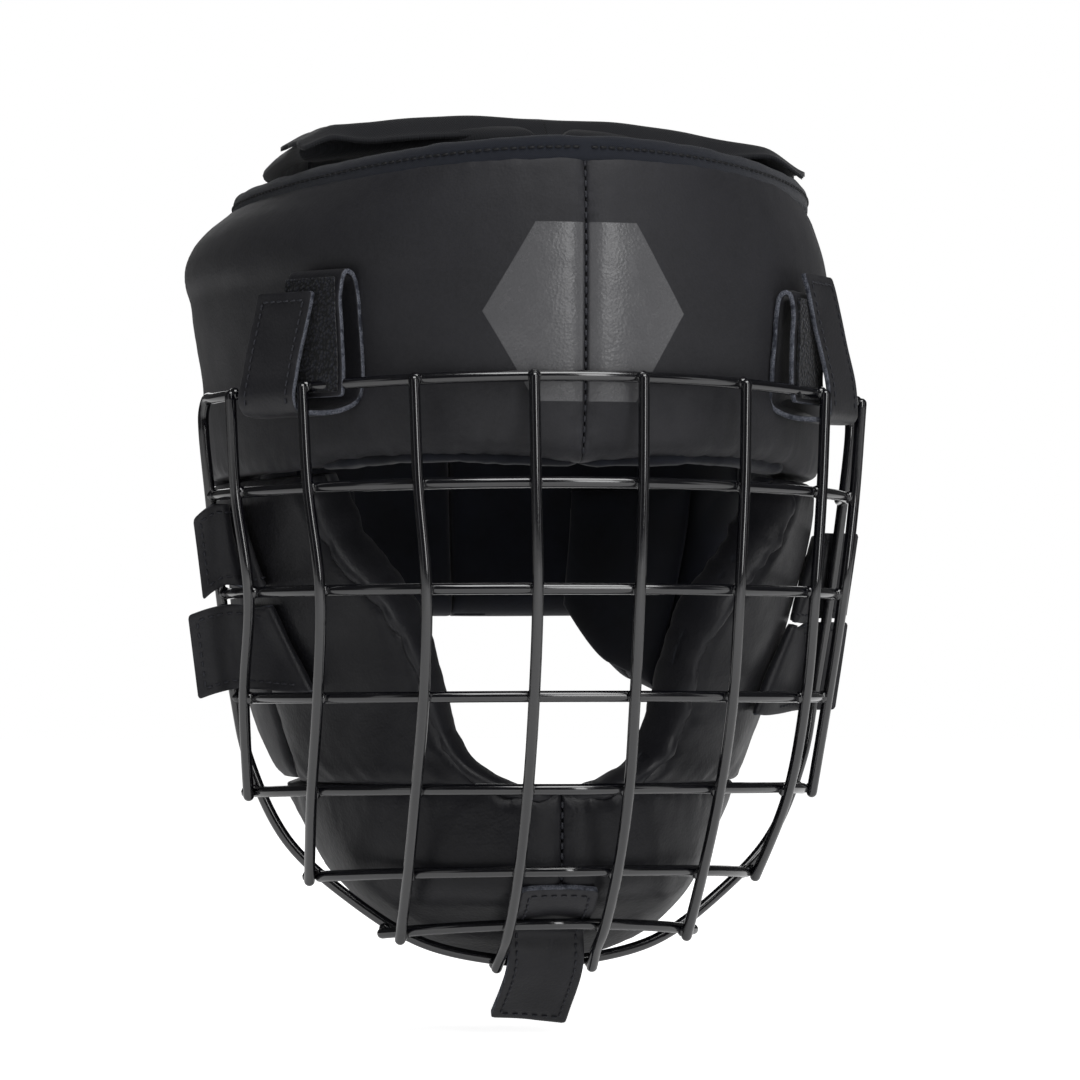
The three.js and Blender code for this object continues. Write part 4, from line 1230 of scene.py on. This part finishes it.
def build_crown():
    """Padded crown halves under a strip of thin textile whose ends are loose and frayed."""
    for side, word in SIDES:
        width = CROWN["half"] - CROWN["inner"]
        x = graded(width, 0.5, 2.6) * width + CROWN["inner"]
        v = graded(144, 0.5, 2.6)
        xx, vv = np.meshgrid(x, v)
        pull = np.sqrt(1 - (xx / (CROWN["half"] + 22)) ** 2)
        yy = lerp(CROWN["front"], CROWN["back"], vv) * pull
        e = np.minimum(np.minimum(xx - x[0], x[-1] - xx),
                       np.minimum(yy - CROWN["front"] * pull, CROWN["back"] * pull - yy))
        half = CROWN["thickness"] / 2
        dip = half * (1 - np.sqrt(1 - np.clip(1 - e / 7, 0, 1) ** 2))
        channel = sum(1.6 * np.exp(-((yy - at) / 2.2) ** 2) for at in (-48, -16, 16, 44))
        surface = crown_height(side * xx, yy)
        lump = 0.3 * rough(np.stack((xx, yy, surface), -1), 16, 91) * np.clip(e / 6, 0, 1)
        top = np.stack((xx, yy, surface - dip - channel * np.clip(e / 7, 0, 1) + lump), -1)
        low = np.stack((xx, yy, surface - CROWN["thickness"] + dip), -1)
        points, faces, backs, _ = shell(top, low)
        points = mirror(points, side)
        values = {"along": points[:, 0], "across": points[:, 1], "rim": np.zeros(len(points))}
        piece = add_mesh(f"crown_cushion_{word}", points, faces + backs, (CROWN_FINISH,), None,
                         values, weld=0.05)
        settle(piece, "guard", [f"crown_pad_{word}"])
        build_crown_cloth(side, word)
        build_crown_gusset(side, word)


def build_crown_gusset(side, word):
    """The cloth wall that joins a crown pad's outer edge to the inside of the guard."""
    low = guard(np.linspace(68, 111, 12), 121, PAD + 1.2, side)
    high = np.stack((np.full(12, CROWN["half"] - 4.0), low[:, 1],
                     crown_height(side * (CROWN["half"] - 4.0), low[:, 1]) - 5.5), -1)
    wall = Strap(mirror(low, side), mirror(high, side), 1.4, step=1.6, seed=93, flutter=0.5)
    piece = wall.build(f"crown_gusset_{word}", (CROWN_FINISH,) * 3, corner=0.6, groove=1.6)
    settle(piece, "guard")


def build_crown_cloth(side, word):
    reach, middle_y, half = 89.5 if side < 0 else 98.0, -45.0, 29.5
    x = graded(reach, 0.5, 1.6) * reach
    w = np.linspace(-1, 1, 44)
    xx, ww = np.meshgrid(x, w, indexing="ij")
    fray = smooth_step(xx, reach - 11, reach)
    ragged = rough(np.stack((ww * 9, xx * 0 + side, xx * 0), -1), 1.0, 95)
    xx = xx + fray * (1.6 * ragged - 2.2 * np.abs(ww) ** 6)
    edge_wave = 1.1 * rough(np.stack((xx / 15, np.sign(ww) * 3, xx * 0 + side), -1), 1.0, 97)
    yy = middle_y + ww * (half - 2.0 * smooth_step(xx, 52, 60)) + edge_wave * np.abs(ww) ** 4
    lift = crown_height(side * xx, yy) + 2.8 + 0.7 * rough(np.stack((xx, yy, xx * 0), -1), 22, 99)
    # past the pad the loose end sinks, and the front edge hangs down behind the brow
    sink = 4.6 * smooth_step(xx, 76, 91) if side < 0 else 5.8 * smooth_step(xx, 82, 99)
    lift = lift - sink - 6.5 * smooth_step(-ww, 0.72, 1.0) * (1 - 0.6 * smooth_step(xx, 60, 90))
    thick = 0.8
    points, faces, backs, walls = shell(np.stack((xx, yy, lift + thick), -1),
                                        np.stack((xx, yy, lift - thick), -1))
    points = mirror(points, side)
    values = {"along": points[:, 0], "across": points[:, 1]}
    piece = add_mesh(f"crown_cloth_{word}", points, faces + backs + walls, (CROWN_FINISH,), None,
                     values, weld=0.0)
    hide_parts("crown_strap", f"crown_tab_{word}")
    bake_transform(piece)


def strap_on_guard(theta, low, high, lift, side, thickness, seed):
    """A strap that lies round the guard between two heights."""
    theta = np.asarray(theta, float)
    ends = [mirror(guard(theta, np.full(len(theta), z), -lift, side), side) for z in (low, high)]
    return Strap(ends[0], ends[1], thickness, step=1.4, seed=seed, flutter=0.15)


def build_rear_closure():
    low, high = 14.0, 76.0
    tape = strap_on_guard(np.linspace(160, 178, 6), low + 4, high - 4, 1.6, -1, 1.6, 101)
    piece = tape.build("rear_loop_patch", (LOOP_FINISH,) * 3, groove=1.6)
    settle(piece, "rear_right", ["rear_loop_tape"])
    lifts = np.array((2.2, 2.2, 2.4, 3.4, 5.6, 5.6, 5.5, 5.4, 5.4))
    theta = np.array((158, 164, 170, 174.5, 178.5, 183, 189, 195, 201), float)
    ends = [guard(theta, np.full(len(theta), z), -lifts, 1) for z in (low, high)]
    strap = Strap(ends[0], ends[1], LEATHER, step=1.2, seed=103, flutter=0.2)
    outside = 1 if strap.normal[3][1] > 0 else -1
    frames = strap.border(0, strap.length, face=outside)
    crossing_strap("rear_flap_strap", strap, "rear_flap_body", (9.0, 130, 45), (3.0, 130, 45),
                   ["rear_flap_base", "rear_flap"], frames, parent="rear_left")


# ---------- stitching on pads and bindings ----------
def build_seam_stitches():
    frames = []
    for low, high in ((-(EAR_END - 3), -1.0), (1.0, EAR_END - 3)):
        theta = np.linspace(low, high, 160)
        z = top_edge(np.abs(theta))
        line = guard_line(theta, z, -3.0)
        line[:, 2] = z + 0.4
        frames += surface_stitches("top_tape", line)
    settle(stitches("binding_stitches", frames, 2.7, 0.5, DARK_THREAD_FINISH), "guard")
    for side, word in SIDES:
        theta = np.linspace(EAR_END + 3, 178.5, 60)
        line = guard(theta, top_edge(theta), -3.0, side)
        line[:, 2] = top_edge(theta) + 0.4
        frames = surface_stitches(f"rear_tape_{word}", mirror(line, side))
        settle(stitches(f"rear_binding_stitches_{word}", frames, 2.7, 0.5, DARK_THREAD_FINISH),
               f"rear_{word}")


def build_centre_stitches():
    """Thread that shows between the halves of the forehead and of the chin."""
    frames = []
    for low, high in ((BROW_Z + 4, 132), (-146, CHIN_TOP_Z - 5)):
        z = np.linspace(low, high, int(high - low))
        line = guard(np.zeros(len(z)), z, 1.3, 1)
        normals = guard_normal(np.zeros(len(z)), z, 1)
        frames += stitch_frames(line, normals, 3.6)
    settle(stitches("centre_stitches", frames, length=2.5, radius=0.55), "guard")


for side, word in SIDES:
    build_forehead(side, word)
    build_side_band(side, word)
    build_cheek(side, word)
    build_chin(side, word)
    build_rear_panel(side, word)
    build_ear_pad(side, word)
    build_linings(side, word)
    build_opening_trim(side, word)
    build_brow_trim(side, word)
build_bindings()
build_cage()
build_temple_straps()
build_side_straps()
build_chin_strap()
build_crown()
build_rear_closure()
build_seam_stitches()
build_centre_stitches()


# ---------- floor, light and camera ----------
def build_floor():
    size, drop = 6.0, 0.004
    height = cad_box[0].z - drop
    mesh = bpy.data.meshes.new("floor")
    shape = bmesh.new()
    bmesh.ops.create_circle(shape, cap_ends=True, segments=96, radius=size)
    bmesh.ops.translate(shape, verts=shape.verts, vec=(0, 0, height))
    shape.to_mesh(mesh)
    shape.free()
    floor = bpy.data.objects.new("floor", mesh)
    bpy.context.scene.collection.objects.link(floor)
    s = Shader("floor")
    parts = s.node("ShaderNodeSeparateXYZ", {0: s.place}).outputs
    away = s.math("SQRT", s.math("ADD", s.math("MULTIPLY", parts[0], parts[0]),
                                 s.math("MULTIPLY", parts[1], parts[1])))
    tint = s.mix(s.span(s.noise(90.0), 0.3, 0.7), (0.86, 0.86, 0.87, 1), (0.9, 0.9, 0.9, 1))
    mesh.materials.append(s.finish(tint, 0.9, Specular_IOR_Level=0.1,
                                   Emission_Color=(1, 1, 1, 1)))
    # white to the camera, but a weak lamp, so that the guard stays dark underneath; its glow is
    # weaker near the middle, a painted shade on the floor under the guard
    seen = s.node("ShaderNodeLightPath").outputs["Is Camera Ray"]
    glow = s.math("MULTIPLY", s.span(away, 0.1, 0.5, 0.85, 1.05), s.span(seen, 0.0, 1.0, 0.4, 1.0))
    s.tree.links.new(glow, s.surface.inputs["Emission Strength"])


# Name, place, width, height and power of each lamp, in metres and watts.
SOFTBOXES = (
    ("top_softbox", (0.1, -0.9, 1.45), 1.2, 0.9, 18),
    ("left_softbox", (-1.5, -1.1, 0.35), 0.35, 1.4, 0.8),
    ("right_softbox", (1.4, -1.1, 0.35), 0.35, 1.4, 1.3),
    ("front_softbox", (0.5, -1.9, 0.65), 0.5, 1.2, 9),
    ("back_softbox", (0.3, 1.6, 0.8), 1.2, 1.0, 5),
)


def add_light(name, place, target, wide, tall, power):
    lamp = bpy.data.lights.new(name, "AREA")
    lamp.shape = "RECTANGLE"
    lamp.size, lamp.size_y = wide, tall
    lamp.energy = power
    made = bpy.data.objects.new(name, lamp)
    made.location = place
    made.rotation_euler = (Vector(target) - Vector(place)).to_track_quat("-Z", "Y").to_euler()
    bpy.context.scene.collection.objects.link(made)


def build_lights():
    world = bpy.data.worlds.new("studio")
    world.use_nodes = True
    nodes, links = world.node_tree.nodes, world.node_tree.links
    background = nodes["Background"]
    background.inputs["Color"].default_value = (1, 1, 1, 1)
    seen = nodes.new("ShaderNodeLightPath").outputs["Is Camera Ray"]
    strength = nodes.new("ShaderNodeMapRange")
    strength.inputs["To Min"].default_value = 0.06
    strength.inputs["To Max"].default_value = 1.0
    links.new(seen, strength.inputs["Value"])
    links.new(strength.outputs[0], background.inputs["Strength"])
    bpy.context.scene.world = world
    for name, place, wide, tall, power in SOFTBOXES:
        add_light(name, place, (0, -0.05, 0), wide, tall, power)


def build_camera():
    azimuth, elevation, distance = math.radians(-12.5), math.radians(-1.5), 1.615
    aim = Vector((0, -0.096, 0))
    back = Vector((math.sin(azimuth) * math.cos(elevation), -math.cos(azimuth) * math.cos(elevation),
                   math.sin(elevation)))
    data = bpy.data.cameras.new("camera")
    data.sensor_width = 36
    data.lens = 151.9
    data.shift_x = -0.0192
    camera = bpy.data.objects.new("camera", data)
    camera.location = aim + back * distance
    camera.rotation_euler = (-back).to_track_quat("-Z", "Y").to_euler()
    bpy.context.scene.collection.objects.link(camera)
    bpy.context.scene.camera = camera


build_floor()
build_lights()
build_camera()
bpy.context.scene.view_settings.view_transform = "Standard"
